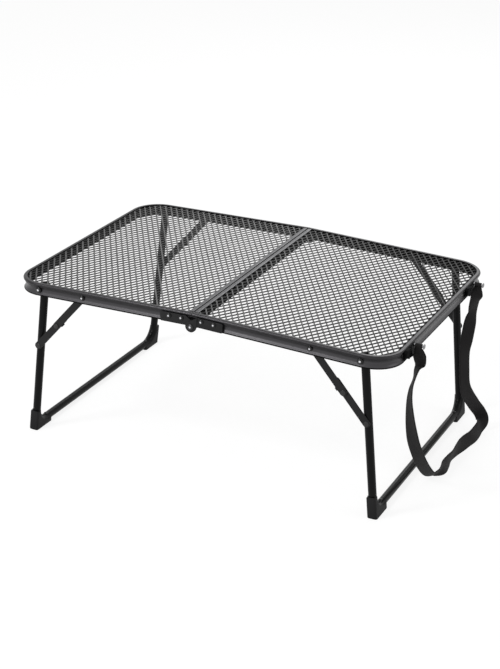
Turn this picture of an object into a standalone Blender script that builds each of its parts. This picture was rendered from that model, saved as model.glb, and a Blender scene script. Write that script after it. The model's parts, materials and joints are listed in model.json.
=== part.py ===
"""Folding camp table: two mesh-topped halves hinged in the middle, two U-shaped folding legs held by
jointed stays, and a webbing strap on one end.

Metres, +Z up. The origin is on the floor under the middle of the table. X runs along its length, Y along
its depth with the front at -Y. The table stands open, and its top rises a little from both ends to the seam.
Each half is drawn lying flat, and its empty then tilts it about the hinge axis. A depth below the table top
is called a drop, and a distance inwards from the outer face of the rim is called an inset.
"""

import math

import bmesh
import bpy
from mathutils import Vector

# Overall sizes
LENGTH = 0.600
DEPTH = 0.400
HEIGHT = 0.250

# Slope of each half, from the ends up to the seam
RIDGE = math.radians(1.45)

# Clearance between pieces that touch or run on each other
GAP = 0.0003

# Rim of each half, a thin section with a rounded bead on top, a hollow outer face and a bottom lip
CORNER_RADIUS = 0.045
BEAD_HEIGHT = 0.0050
BEAD_WIDTH = 0.0074
COVE_INSET = 0.0030
RIM_WALL = 0.0016
LIP_HEIGHT = 0.0018
LEDGE_WIDTH = 0.0020
LEDGE_THICKNESS = 0.0010
RIM_BELOW_FEET = 0.0016

# Expanded-metal panel: diamonds along the depth, drawn coarser than the real 10 by 16 mm ones
PANEL_DROP = 0.0010
PANEL_THICKNESS = 0.0010
PANEL_EDGE = 0.0030
DIAMONDS_ALONG = 9
DIAMONDS_ACROSS = 7
STRAND_WIDTH = 0.0030

# Bar that closes each half along the middle of the table
BAR_HEIGHT = 0.0160
BAR_WIDTH = 0.0070

# U-shaped legs, their pivots and the boots on their corners
TUBE_RADIUS = 0.0060
TUBE_WALL = 0.0012
TUBE_END = 0.0050
BEND_RADIUS = 0.0260
PIVOT_INSET = 0.0460
SPLAY = math.radians(6.2)
FOLD_ROOM = 0.0006
BOOT_WALL = 0.0011
BOOT_HEIGHT = 0.0330
BOOT_LENGTH = 0.0340
BOOT_EDGE = 0.0034
SOLE = 0.0013

# Stays: a flat upper and lower link to each leg, side by side between the rim and the tube
STAY_THICKNESS = 0.0015
STAY_WIDTH = 0.0110
STAY_STANDOFF = 0.0026
STAY_SPACE = 0.0012
STAY_LEG_SPACE = 0.0011
STAY_TOP_REACH = 0.0740
STAY_FOOT_REACH = 0.0960
STAY_TAIL = 0.0180
STAY_LUG_LENGTH = 0.0050
STAY_LUG_WALL = 0.0012

# Rivets and pins
PIN_RADIUS = 0.0025
RIVET_RADIUS = 0.0018
HEAD_OVERHANG = 0.0020
HEAD_HEIGHT = 0.0018
STAY_HEAD_HEIGHT = 0.0009
THIN_HEAD_HEIGHT = 0.0005
BUSH_WALL = 0.0014
BUSH_PLAY = 0.0007

# Middle hinges: two leaves on each long side, their round eyes one in front of the other
HINGE_DROP_BELOW_RIM = 0.0003
LEAF_THICKNESS = 0.0015
LEAF_LENGTH = 0.0490
LEAF_EDGE_DROP = 0.0044
EYE_RADIUS = 0.0082
LEAF_RIVETS = (0.0155, 0.0350)
LEAF_RIVET_DROP = 0.0088

# Strap and what it hangs from, on the right end
STRAP_Y = 0.1250
STRAP_WIDTH = 0.0200
STRAP_THICKNESS = 0.0016
STRAP_PINCH = 0.65
PEG_DROP = 0.0030
PEG_RADIUS = 0.0018
PEG_REACH = 0.0162
PEG_ROOT = 0.0036
ANCHOR_PLATE = 0.0012
ANCHOR_PAST_PEG = 0.0040
ANCHOR_LENGTH = 0.0380
ANCHOR_HEIGHT = 0.0220
ANCHOR_BLOCK_LENGTH = 0.0140
ANCHOR_BLOCK_DEPTH = 0.0045

# Counts for round shapes
TURN_STEPS = 10
HOLE_SIDES = 10
ARC_STEPS = 6

# Places that follow from the sizes above
BOOT_HALF = TUBE_RADIUS + GAP + BOOT_WALL
PIVOT_DROP = PANEL_DROP + PANEL_THICKNESS + FOLD_ROOM + BOOT_HALF
RIM_HEIGHT = PIVOT_DROP + BOOT_HALF + RIM_BELOW_FEET
RIM_INNER = COVE_INSET + RIM_WALL
SEAT_DROP = PANEL_DROP + PANEL_THICKNESS + GAP
PIVOT_X = LENGTH / 2 - PIVOT_INSET
PIVOT_Z = HEIGHT - PIVOT_DROP
HINGE_Z = HEIGHT - RIM_HEIGHT - HINGE_DROP_BELOW_RIM
SEAM_RISE = (HEIGHT - HINGE_Z) * (1 - math.cos(RIDGE)) + LENGTH / 2 * math.sin(RIDGE)
STANDING_PIVOT_Z = HINGE_Z + SEAM_RISE + (PIVOT_Z - HINGE_Z) * math.cos(RIDGE) - PIVOT_X * math.sin(RIDGE)
RIM_FACE_Y = DEPTH / 2 - RIM_INNER
LEAF_RIVET_Z = HEIGHT - LEAF_RIVET_DROP
UPPER_STAY_Y = RIM_FACE_Y - STAY_STANDOFF - STAY_THICKNESS / 2
LOWER_STAY_Y = UPPER_STAY_Y - STAY_THICKNESS - STAY_SPACE
TUBE_SIDE_Y = LOWER_STAY_Y - STAY_THICKNESS / 2 - STAY_LEG_SPACE
LEG_Y = TUBE_SIDE_Y - TUBE_RADIUS
CROSSBAR_Z = TUBE_RADIUS + GAP + SOLE
LEG_LENGTH = (STANDING_PIVOT_Z - CROSSBAR_Z) / math.cos(SPLAY)

# Strap route from the front peg to the back peg: place, then the heading and tilt of its width in degrees
STRAP_ROUTE = (
    (0.3089, -0.1255, 0.2432, -2, 0),
    (0.3112, -0.1250, 0.2320, -4, 5),
    (0.3122, -0.1245, 0.2190, -23, 18),
    (0.3100, -0.1300, 0.2120, -47, 28),
    (0.3090, -0.1340, 0.2010, -62, 26),
    (0.3070, -0.1380, 0.1860, -56, 30),
    (0.3060, -0.1370, 0.1670, -51, 30),
    (0.3060, -0.1300, 0.1390, -40, 30),
    (0.3060, -0.1190, 0.1110, -31, 33),
    (0.3060, -0.1050, 0.0850, -24, 34),
    (0.3080, -0.0840, 0.0530, -20, 37),
    (0.3100, -0.0640, 0.0280, -18, 38),
    (0.3135, -0.0465, 0.0105, -32, 42),
    (0.3200, -0.0370, 0.0101, -77, 42),
    (0.3245, -0.0230, 0.0110, -107, 42),
    (0.3240, -0.0020, 0.0108, -98, 35),
    (0.3230, 0.0220, 0.0108, -85, 34),
    (0.3235, 0.0470, 0.0109, -105, 46),
    (0.3265, 0.0760, 0.0105, -160, 53),
    (0.3305, 0.0980, 0.0105, -155, 54),
    (0.3300, 0.1280, 0.0110, -112, 38),
    (0.3280, 0.1470, 0.0160, -120, -20),
    (0.3210, 0.1540, 0.0240, -141, -38),
    (0.3150, 0.1330, 0.0480, -144, -34),
    (0.3090, 0.1080, 0.0810, -122, -3),
    (0.3060, 0.1030, 0.1140, -121, 9),
    (0.3045, 0.1020, 0.1440, -123, 8),
    (0.3045, 0.1070, 0.1640, -142, 11),
    (0.3045, 0.1150, 0.1850, -142, 10),
    (0.3045, 0.1240, 0.2020, -112, 16),
    (0.3072, 0.1195, 0.2190, -115, 14),
    (0.3102, 0.1190, 0.2310, -140, 6),
    (0.3089, 0.1240, 0.2432, -178, 0),
)


def clear_scene():
    for obj in list(bpy.data.objects):
        bpy.data.objects.remove(obj, do_unlink=True)


def new_collection(name):
    made = bpy.data.collections.new(name)
    bpy.context.scene.collection.children.link(made)
    return made


def new_material(name, color, roughness, metallic):
    made = bpy.data.materials.new(name)
    made.use_nodes = True
    shader = made.node_tree.nodes["Principled BSDF"]
    shader.inputs["Base Color"].default_value = (*color, 1.0)
    shader.inputs["Roughness"].default_value = roughness
    shader.inputs["Metallic"].default_value = metallic
    made.diffuse_color = (*color, 1.0)
    return made


clear_scene()
TABLE = new_collection("folding_camp_table")
CUTTERS = new_collection("cutters")
RIM_METAL = new_material("rim_metal", (0.10, 0.10, 0.11), 0.42, 0.6)
PANEL_METAL = new_material("panel_metal", (0.16, 0.16, 0.17), 0.5, 0.5)
BAR_METAL = new_material("bar_metal", (0.20, 0.20, 0.21), 0.4, 0.6)
LEG_METAL = new_material("leg_metal", (0.02, 0.02, 0.02), 0.35, 0.2)
STAY_METAL = new_material("stay_metal", (0.025, 0.025, 0.025), 0.45, 0.3)
RIVET_METAL = new_material("rivet_metal", (0.35, 0.35, 0.36), 0.3, 0.9)
BOOT_PLASTIC = new_material("boot_plastic", (0.012, 0.012, 0.012), 0.6, 0.0)
WEBBING = new_material("webbing", (0.015, 0.015, 0.017), 0.8, 0.0)


def add_half(name, side):
    """The empty that tilts one half about the hinge axis. Its children are placed as if it lay flat."""
    half = bpy.data.objects.new(name, None)
    half.empty_display_size = 0.02
    TABLE.objects.link(half)
    half.location = (0, 0, HINGE_Z + SEAM_RISE)
    half.rotation_euler = (0, side * RIDGE, 0)
    return half


def add_pivot(name, place, parent):
    """An empty on a joint's axis, which carries what turns about it."""
    pivot = bpy.data.objects.new(name, None)
    pivot.empty_display_size = 0.02
    TABLE.objects.link(pivot)
    pivot.location = Vector(place)
    attach(pivot, parent)
    return pivot


def flat_place(empty):
    """Where an empty stands when its half lies flat."""
    if empty.parent is None:
        return Vector((0, 0, HINGE_Z))
    return flat_place(empty.parent) + empty.location


def attach(obj, carrier):
    """Hangs something that was placed in the flat table on its empty."""
    obj.parent = carrier
    obj.location -= flat_place(carrier)


def finish(obj, name, material, angle=35):
    """Names a piece, gives it its material and shades it."""
    obj.name = name
    obj.data.name = name
    obj.data.materials.clear()
    obj.data.materials.append(material)
    if obj.type == "MESH":
        obj.data.shade_smooth()
        obj.data.set_sharp_from_angle(angle=math.radians(angle))


def hang(obj, name, material, carrier):
    """Finishes a piece and hangs it on its empty, with the cutters that it doesn't share."""
    finish(obj, name, material)
    attach(obj, carrier)
    for modifier in obj.modifiers:
        if modifier.type == "BOOLEAN" and modifier.object.name.startswith(name):
            attach(modifier.object, carrier)


def mesh_object(name, mesh_maker, collection=TABLE):
    """A mesh object filled by a function that draws into a bmesh."""
    mesh = bpy.data.meshes.new(name)
    work = bmesh.new()
    mesh_maker(work)
    bmesh.ops.recalc_face_normals(work, faces=work.faces)
    work.to_mesh(mesh)
    work.free()
    obj = bpy.data.objects.new(name, mesh)
    collection.objects.link(obj)
    if collection is CUTTERS:
        obj.hide_render = True
        obj.display_type = "WIRE"
    return obj


def to_mesh(obj, collection=TABLE):
    """A welded mesh in place of a curve, for cutting and bevelling."""
    bpy.context.view_layer.update()
    graph = bpy.context.evaluated_depsgraph_get()
    mesh = bpy.data.meshes.new_from_object(obj.evaluated_get(graph))
    work = bmesh.new()
    work.from_mesh(mesh)
    bmesh.ops.remove_doubles(work, verts=work.verts, dist=1e-6)
    bmesh.ops.recalc_face_normals(work, faces=work.faces)
    work.to_mesh(mesh)
    work.free()
    made = bpy.data.objects.new(obj.name, mesh)
    made.matrix_world = obj.matrix_world
    collection.objects.link(made)
    bpy.data.objects.remove(obj, do_unlink=True)
    if collection is CUTTERS:
        made.hide_render = True
        made.display_type = "WIRE"
    return made


def cut(obj, cutter, operation="DIFFERENCE"):
    modifier = obj.modifiers.new(cutter.name, "BOOLEAN")
    modifier.operation = operation
    modifier.solver = "EXACT"
    modifier.object = cutter


def add_curve(name, outlines, collection=TABLE, flat=False, cyclic=True):
    """A curve object with one straight-edged spline for each list of points."""
    data = bpy.data.curves.new(name, "CURVE")
    data.dimensions = "2D" if flat else "3D"
    for outline in outlines:
        spline = data.splines.new("POLY")
        spline.points.add(len(outline) - 1)
        for point, place in zip(spline.points, outline):
            point.co = (*place, *[0.0] * (3 - len(place)), 1.0)
        spline.use_cyclic_u = cyclic
    obj = bpy.data.objects.new(name, data)
    collection.objects.link(obj)
    return obj


def add_plate(name, outlines, thickness):
    """A flat plate from an outline and its holes, lying in XY and centred on it."""
    obj = add_curve(name, outlines, flat=True)
    obj.data.fill_mode = "BOTH"
    obj.data.extrude = thickness / 2
    return obj


def upright_plate(name, outlines, y, thickness):
    """The same plate stood up in XZ, its outline points being (x, z)."""
    obj = add_plate(name, outlines, thickness)
    obj.rotation_euler = (math.pi / 2, 0, 0)
    obj.location = (0, y, 0)
    return obj


def arc(centre, radius, start, end, steps):
    """Points on an arc, its angles in degrees."""
    angles = [math.radians(start + (end - start) * i / steps) for i in range(steps + 1)]
    return [(centre[0] + radius * math.cos(a), centre[1] + radius * math.sin(a)) for a in angles]


def circle(centre, radius, sides=HOLE_SIDES):
    return arc(centre, radius, 0, 360, sides)[:-1]


def add_cylinder(work, start, end, radius, sides=HOLE_SIDES):
    """A closed cylinder between two points, drawn into a bmesh."""
    start = Vector(start)
    along = Vector(end) - start
    turn = along.to_track_quat("Z", "Y").to_matrix().to_4x4()
    turn.translation = start + along / 2
    bmesh.ops.create_cone(
        work, cap_ends=True, segments=sides, radius1=radius, radius2=radius, depth=along.length, matrix=turn
    )


def add_box(work, low, high):
    low, high = Vector(low), Vector(high)
    made = bmesh.ops.create_cube(work, size=1.0)["verts"]
    for vert in made:
        vert.co = Vector(low[i] + (high[i] - low[i]) * (vert.co[i] + 0.5) for i in range(3))


def turned(name, profile, base, outward, material, carrier, steps=TURN_STEPS):
    """A turned piece. Its profile is (radius, height) from the outer end inwards, heights along outward."""
    closed = profile[0][0] > 0
    mesh = bpy.data.meshes.new(name)
    points = [(radius, 0.0, height) for radius, height in profile]
    count = len(points)
    edges = [(i, (i + 1) % count) for i in range(count if closed else count - 1)]
    mesh.from_pydata(points, edges, [])
    obj = bpy.data.objects.new(name, mesh)
    TABLE.objects.link(obj)
    screw = obj.modifiers.new("turn", "SCREW")
    screw.steps = steps
    screw.render_steps = steps
    screw.use_merge_vertices = True
    screw.merge_threshold = 1e-5
    screw.use_smooth_shade = True
    obj.location = Vector(base)
    obj.rotation_euler = Vector(outward).to_track_quat("Z", "Y").to_euler()
    hang(obj, name, material, carrier)


def headed_pin(radius, top, bottom, head, foot_head, collars=()):
    """Profile of a rivet: a domed head above top, a flat head below bottom, and collars between.

    head and foot_head are (radius, height). A collar is (radius, upper, lower).
    """
    head_radius, head_height = head
    profile = [(0.0, top + head_height), (head_radius * 0.55, top + head_height * 0.85)]
    profile += [(head_radius, top + head_height * 0.25), (head_radius, top)]
    for collar_radius, upper, lower in collars:
        profile += [(radius, upper), (collar_radius, upper), (collar_radius, lower), (radius, lower)]
    if foot_head[1] > 0:
        foot_radius, foot_height = foot_head
        profile.insert(4, (radius, top))
        profile += [(radius, bottom), (foot_radius, bottom), (foot_radius, bottom - foot_height)]
        profile.append((0.0, bottom - foot_height))
    else:
        profile.insert(4, (radius, top))
        profile += [(radius, bottom), (0.0, bottom)]
    return profile


def cove_inset(drop):
    """How far in the rim's outer face lies at a drop, between its bead and its lip."""
    share = (drop - BEAD_HEIGHT) / (RIM_HEIGHT - LIP_HEIGHT - BEAD_HEIGHT)
    return COVE_INSET * math.sin(math.pi * min(max(share, 0.0), 1.0)) ** 0.5


def face_seat(head_radius):
    """The Y of the plane on which a rivet head seats, over the hollow in the rim's face."""
    return DEPTH / 2 - min(cove_inset(PIVOT_DROP - head_radius), cove_inset(PIVOT_DROP + head_radius)) + GAP


def seam_x(z):
    """How far from the middle a half ends at a height, so that its end stands upright once it is tilted."""
    return (GAP - (z - HINGE_Z) * math.sin(RIDGE)) / math.cos(RIDGE)


def rim_section():
    """The rim's section as (inset, drop) points, from the inner top edge of its bead round the outside."""
    round_radius = BEAD_HEIGHT / 2
    section = [(BEAD_WIDTH, 0.0005), (BEAD_WIDTH - 0.0005, 0.0)]
    section += [(x, -y) for x, y in arc((round_radius, -round_radius), round_radius, 90, 240, 5)]
    lip_drop = RIM_HEIGHT - LIP_HEIGHT
    for share in (0.15, 0.38, 0.62, 0.85):
        drop = BEAD_HEIGHT + (lip_drop - BEAD_HEIGHT) * share
        section.append((cove_inset(drop), drop))
    section += [(GAP, lip_drop), (GAP, RIM_HEIGHT - LIP_HEIGHT / 3), (LIP_HEIGHT / 2, RIM_HEIGHT)]
    section += [(RIM_INNER - RIM_WALL, RIM_HEIGHT), (RIM_INNER, RIM_HEIGHT - RIM_WALL)]
    ledge_end = BEAD_WIDTH + LEDGE_WIDTH
    section += [(RIM_INNER, SEAT_DROP + LEDGE_THICKNESS), (ledge_end, SEAT_DROP + LEDGE_THICKNESS)]
    section += [(ledge_end, SEAT_DROP), (BEAD_WIDTH, SEAT_DROP)]
    return section


def half_outline(inset, seam, steps=ARC_STEPS):
    """The open U that a half's rim follows, at an inset, for the right half: from the front seam round the end."""
    radius = CORNER_RADIUS - inset
    corner_x = LENGTH / 2 - CORNER_RADIUS
    corner_y = DEPTH / 2 - CORNER_RADIUS
    front = arc((corner_x, -corner_y), radius, -90, 0, steps)
    back = arc((corner_x, corner_y), radius, 0, 90, steps)
    return [(seam, -DEPTH / 2 + inset)] + front + back + [(seam, DEPTH / 2 - inset)]


def build_rim(side, name, carrier):
    """The rim of one half, bent round its end, with holes for all that is riveted through it."""
    section = add_curve(f"{name}_section", [[(inset, -drop) for inset, drop in rim_section()]], CUTTERS, True)
    section.hide_render = True
    path = [(side * x, y, HEIGHT) for x, y in half_outline(0.0, GAP)]
    rim = add_curve(name, [path[::-side]], cyclic=False)
    rim.data.twist_mode = "Z_UP"
    rim.data.bevel_mode = "OBJECT"
    rim.data.bevel_object = section
    rim.data.use_fill_caps = True
    rim = to_mesh(rim)
    bpy.data.objects.remove(section, do_unlink=True)
    for vert in rim.data.vertices:
        if abs(vert.co.x) < 2 * GAP:
            vert.co.x = side * seam_x(vert.co.z)

    def holes(work):
        for y_side in (-1, 1):
            outer = y_side * DEPTH / 2
            inner = y_side * (RIM_FACE_Y - 0.003)
            add_cylinder(work, (side * PIVOT_X, outer, PIVOT_Z), (side * PIVOT_X, inner, PIVOT_Z), PIN_RADIUS + GAP)
            riveted = [(PIVOT_X - STAY_TOP_REACH, PIVOT_Z)] + [(x, LEAF_RIVET_Z) for x in LEAF_RIVETS]
            for x, z in riveted:
                add_cylinder(work, (side * x, outer, z), (side * x, inner, z), RIVET_RADIUS + GAP)
            if side > 0:
                ends = (LENGTH / 2 + 0.003, LENGTH / 2 - PEG_ROOT - GAP)
                z = HEIGHT - PEG_DROP
                add_cylinder(work, (ends[0], y_side * STRAP_Y, z), (ends[1], y_side * STRAP_Y, z), PEG_RADIUS + GAP)

    cut(rim, mesh_object(f"{name}_holes", holes, CUTTERS))
    hang(rim, name, RIM_METAL, carrier)


def build_bar(side, name, carrier):
    """The bar along the seam, with a ledge for the panel, coped over the rim's ledges at its ends."""
    seat = HEIGHT - SEAT_DROP
    outline = [
        (seam_x(HEIGHT - BAR_HEIGHT), HEIGHT - BAR_HEIGHT),
        (seam_x(HEIGHT - 0.0004), HEIGHT - 0.0004),
        (seam_x(HEIGHT) + 0.0004, HEIGHT),
        (BAR_WIDTH - 0.0006, HEIGHT),
        (BAR_WIDTH, HEIGHT - 0.0006),
        (BAR_WIDTH, seat),
        (BAR_WIDTH + LEDGE_WIDTH, seat),
        (BAR_WIDTH + LEDGE_WIDTH, seat - LEDGE_THICKNESS),
        (BAR_WIDTH - RIM_WALL, seat - LEDGE_THICKNESS),
        (BAR_WIDTH - RIM_WALL, HEIGHT - BAR_HEIGHT),
    ]
    outline = [(side * x, z) for x, z in outline]
    half_length = DEPTH / 2 - BEAD_WIDTH - GAP
    bar = to_mesh(upright_plate(name, [outline], 0.0, 2 * half_length))

    def copes(work):
        reach = half_length + 0.01
        coped = DEPTH / 2 - BEAD_WIDTH - LEDGE_WIDTH - GAP
        for y_side in (-1, 1):
            low_y, high_y = sorted((y_side * coped, y_side * reach))
            low = (-2 * BAR_WIDTH, low_y, HEIGHT - 2 * BAR_HEIGHT)
            add_box(work, low, (2 * BAR_WIDTH, high_y, seat + GAP))

    cut(bar, mesh_object(f"{name}_copes", copes, CUTTERS))
    hang(bar, name, BAR_METAL, carrier)


def clipped(polygon, axis, limit, keep_above):
    """The part of a convex polygon on one side of an axis-aligned line."""
    kept = []
    for start, end in zip(polygon, polygon[1:] + polygon[:1]):
        start_in = (start[axis] > limit) == keep_above
        end_in = (end[axis] > limit) == keep_above
        if start_in:
            kept.append(start)
        if start_in != end_in:
            share = (limit - start[axis]) / (end[axis] - start[axis])
            kept.append(tuple(a + (b - a) * share for a, b in zip(start, end)))
    return kept


def polygon_area(polygon):
    turns = zip(polygon, polygon[1:] + polygon[:1])
    return abs(sum(a[0] * b[1] - b[0] * a[1] for a, b in turns)) / 2


def panel_gaps(low_x, high_x, half_y, corner):
    """The diamonds between the strands of one panel, cut off square at its edges."""
    pitch_x = (high_x - low_x) / DIAMONDS_ALONG
    pitch_y = 2 * half_y / DIAMONDS_ACROSS
    slope = math.hypot(pitch_x, pitch_y)
    half_x = pitch_x / 2 - STRAND_WIDTH / 2 * slope / pitch_y
    half_w = pitch_y / 2 - STRAND_WIDTH / 2 * slope / pitch_x
    edge = STRAND_WIDTH / 2
    gaps = []
    for row in range(2 * DIAMONDS_ACROSS + 1):
        for column in range(DIAMONDS_ALONG + 1):
            x = low_x + pitch_x * (column + (0.5 if row % 2 else 0.0))
            y = -half_y + pitch_y * row / 2
            gap = [(x - half_x, y), (x, y - half_w), (x + half_x, y), (x, y + half_w)]
            for axis, limit, above in (
                (0, low_x, True),
                (0, high_x, False),
                (1, -half_y, True),
                (1, half_y, False),
            ):
                gap = clipped(gap, axis, limit, above) if len(gap) > 2 else []
            if len(gap) < 3 or polygon_area(gap) < half_x * half_w / 4:
                continue
            middle = (high_x - corner, half_y - corner)
            reach = [math.hypot(max(px - middle[0], 0), max(abs(py) - middle[1], 0)) for px, py in gap]
            if max(reach) < corner - edge:
                gaps.append(gap)
    return gaps


def build_panel(side, name, carrier):
    """The expanded-metal panel of one half, lying on the ledges of its rim and bar."""
    inset = BEAD_WIDTH + GAP
    seam = BAR_WIDTH + GAP
    outline = half_outline(inset, seam)
    inner = inset + PANEL_EDGE
    gaps = panel_gaps(seam + PANEL_EDGE, LENGTH / 2 - inner, DEPTH / 2 - inner, CORNER_RADIUS - inner)
    outlines = [[(side * x, y) for x, y in points] for points in [outline, *gaps]]
    panel = add_plate(name, outlines, PANEL_THICKNESS)
    panel.location.z = HEIGHT - PANEL_DROP - PANEL_THICKNESS / 2
    hang(panel, name, PANEL_METAL, carrier)


def leg_point(side, x_off, y, down):
    """A point from a leg's own frame: x_off across its plane, down along it from its pivot."""
    lean = SPLAY + RIDGE
    x = PIVOT_X + x_off * math.cos(lean) + down * math.sin(lean)
    z = PIVOT_Z + x_off * math.sin(lean) - down * math.cos(lean)
    return Vector((side * x, y, z))


def leg_path():
    """The U of a leg's tube as (y, down) points."""
    bend_y = LEG_Y - BEND_RADIUS
    bend_down = LEG_LENGTH - BEND_RADIUS
    front = [(-y, down) for y, down in arc((bend_y, bend_down), BEND_RADIUS, 0, 90, ARC_STEPS)]
    back = [(-y, down) for y, down in reversed(front)]
    return [(-LEG_Y, -TUBE_END)] + front + back + [(LEG_Y, -TUBE_END)]


def tube_curve(name, side, radius, capped, collection):
    points = [leg_point(side, 0.0, y, down) for y, down in leg_path()]
    obj = add_curve(name, [[tuple(point) for point in points]], collection, cyclic=False)
    obj.data.bevel_depth = radius
    obj.data.bevel_resolution = 4
    obj.data.use_fill_caps = capped
    return obj


def build_leg(side, name, carrier):
    """One hollow U-shaped leg, open at its two top ends, drilled for its pivots."""
    leg = to_mesh(tube_curve(name, side, TUBE_RADIUS, False, TABLE))
    wall = leg.modifiers.new("wall", "SOLIDIFY")
    wall.thickness = TUBE_WALL
    wall.offset = -1.0
    wall.use_even_offset = True

    def holes(work):
        for y_side in (-1, 1):
            ends = [y_side * (LEG_Y + TUBE_RADIUS + 0.002), y_side * (LEG_Y - TUBE_RADIUS - 0.002)]
            places = [(side * PIVOT_X, y, PIVOT_Z) for y in ends]
            add_cylinder(work, *places, PIN_RADIUS + GAP)

    cut(leg, mesh_object(f"{name}_holes", holes, CUTTERS))
    hang(leg, name, LEG_METAL, carrier)


def build_boot(side, y_side, name, tube_cutter, floor_cutter, carrier):
    """The moulded boot on one corner of a leg: it follows the bend inside and fills the corner outside it."""
    outer = LEG_Y + BOOT_HALF
    bottom = LEG_LENGTH + BOOT_HALF + 0.004
    top = LEG_LENGTH + CROSSBAR_Z - BOOT_HEIGHT
    inner = LEG_Y - BOOT_LENGTH
    bend = (LEG_Y - BEND_RADIUS, LEG_LENGTH - BEND_RADIUS)
    hollow = arc(bend, BEND_RADIUS - BOOT_HALF, 90, 0, ARC_STEPS)
    outline = [(outer, top), (outer, bottom), (inner, bottom), (inner, LEG_LENGTH - BOOT_HALF)]
    outline += [*hollow, (LEG_Y - BOOT_HALF, top)]
    block = add_plate(name, [outline], 2 * BOOT_HALF)
    block = to_mesh(block)
    for vert in block.data.vertices:
        y, down, x_off = vert.co
        vert.co = leg_point(side, x_off, y_side * y, down)
    work = bmesh.new()
    work.from_mesh(block.data)
    bmesh.ops.recalc_face_normals(work, faces=work.faces)
    work.to_mesh(block.data)
    work.free()
    bevel = block.modifiers.new("edges", "BEVEL")
    bevel.width = BOOT_EDGE
    bevel.segments = 2
    bevel.limit_method = "ANGLE"
    bevel.angle_limit = math.radians(30)

    cut(block, tube_cutter)
    cut(block, floor_cutter)
    hang(block, name, BOOT_PLASTIC, carrier)


def build_leg_pivot(side, y_side, name, bush_name, carrier):
    """A pivot pin through rim, bush and tube, and the bush that keeps the tube off the rim."""
    outward = (0, y_side, 0)
    base = (side * PIVOT_X, 0, PIVOT_Z)
    head = (PIN_RADIUS + HEAD_OVERHANG, HEAD_HEIGHT)
    inside = LEG_Y - TUBE_RADIUS - GAP
    profile = headed_pin(PIN_RADIUS, face_seat(head[0]), inside, head, (head[0], HEAD_HEIGHT))
    turned(name, profile, base, outward, RIVET_METAL, carrier)
    bore = PIN_RADIUS + GAP
    outer = bore + BUSH_WALL
    top, bottom = RIM_FACE_Y - BUSH_PLAY, TUBE_SIDE_Y + GAP
    ring = [(outer, top), (outer, bottom), (bore, bottom), (bore, top)]
    turned(bush_name, ring, base, outward, LEG_METAL, carrier)


def stay_places():
    """Top pivot, middle pivot and foot pivot of a stay on the right, as (x, z), and its links' lengths."""
    top = Vector((PIVOT_X - STAY_TOP_REACH, PIVOT_Z))
    lean = SPLAY + RIDGE
    foot = Vector((PIVOT_X, PIVOT_Z)) + STAY_FOOT_REACH * Vector((math.sin(lean), -math.cos(lean)))
    span = (foot - top).length
    upper = (span + STAY_FOOT_REACH - STAY_TOP_REACH) / 2
    middle = top + (foot - top) * upper / span
    return top, middle, foot


def link_outline(start, end, radius, side):
    """A flat link's outline, round at both ends."""
    along = math.degrees(math.atan2((end - start).y, (end - start).x))
    points = arc(end, radius, along - 90, along + 90, ARC_STEPS)
    points += arc(start, radius, along + 90, along + 270, ARC_STEPS)
    return [(side * x, z) for x, z in points]


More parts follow.
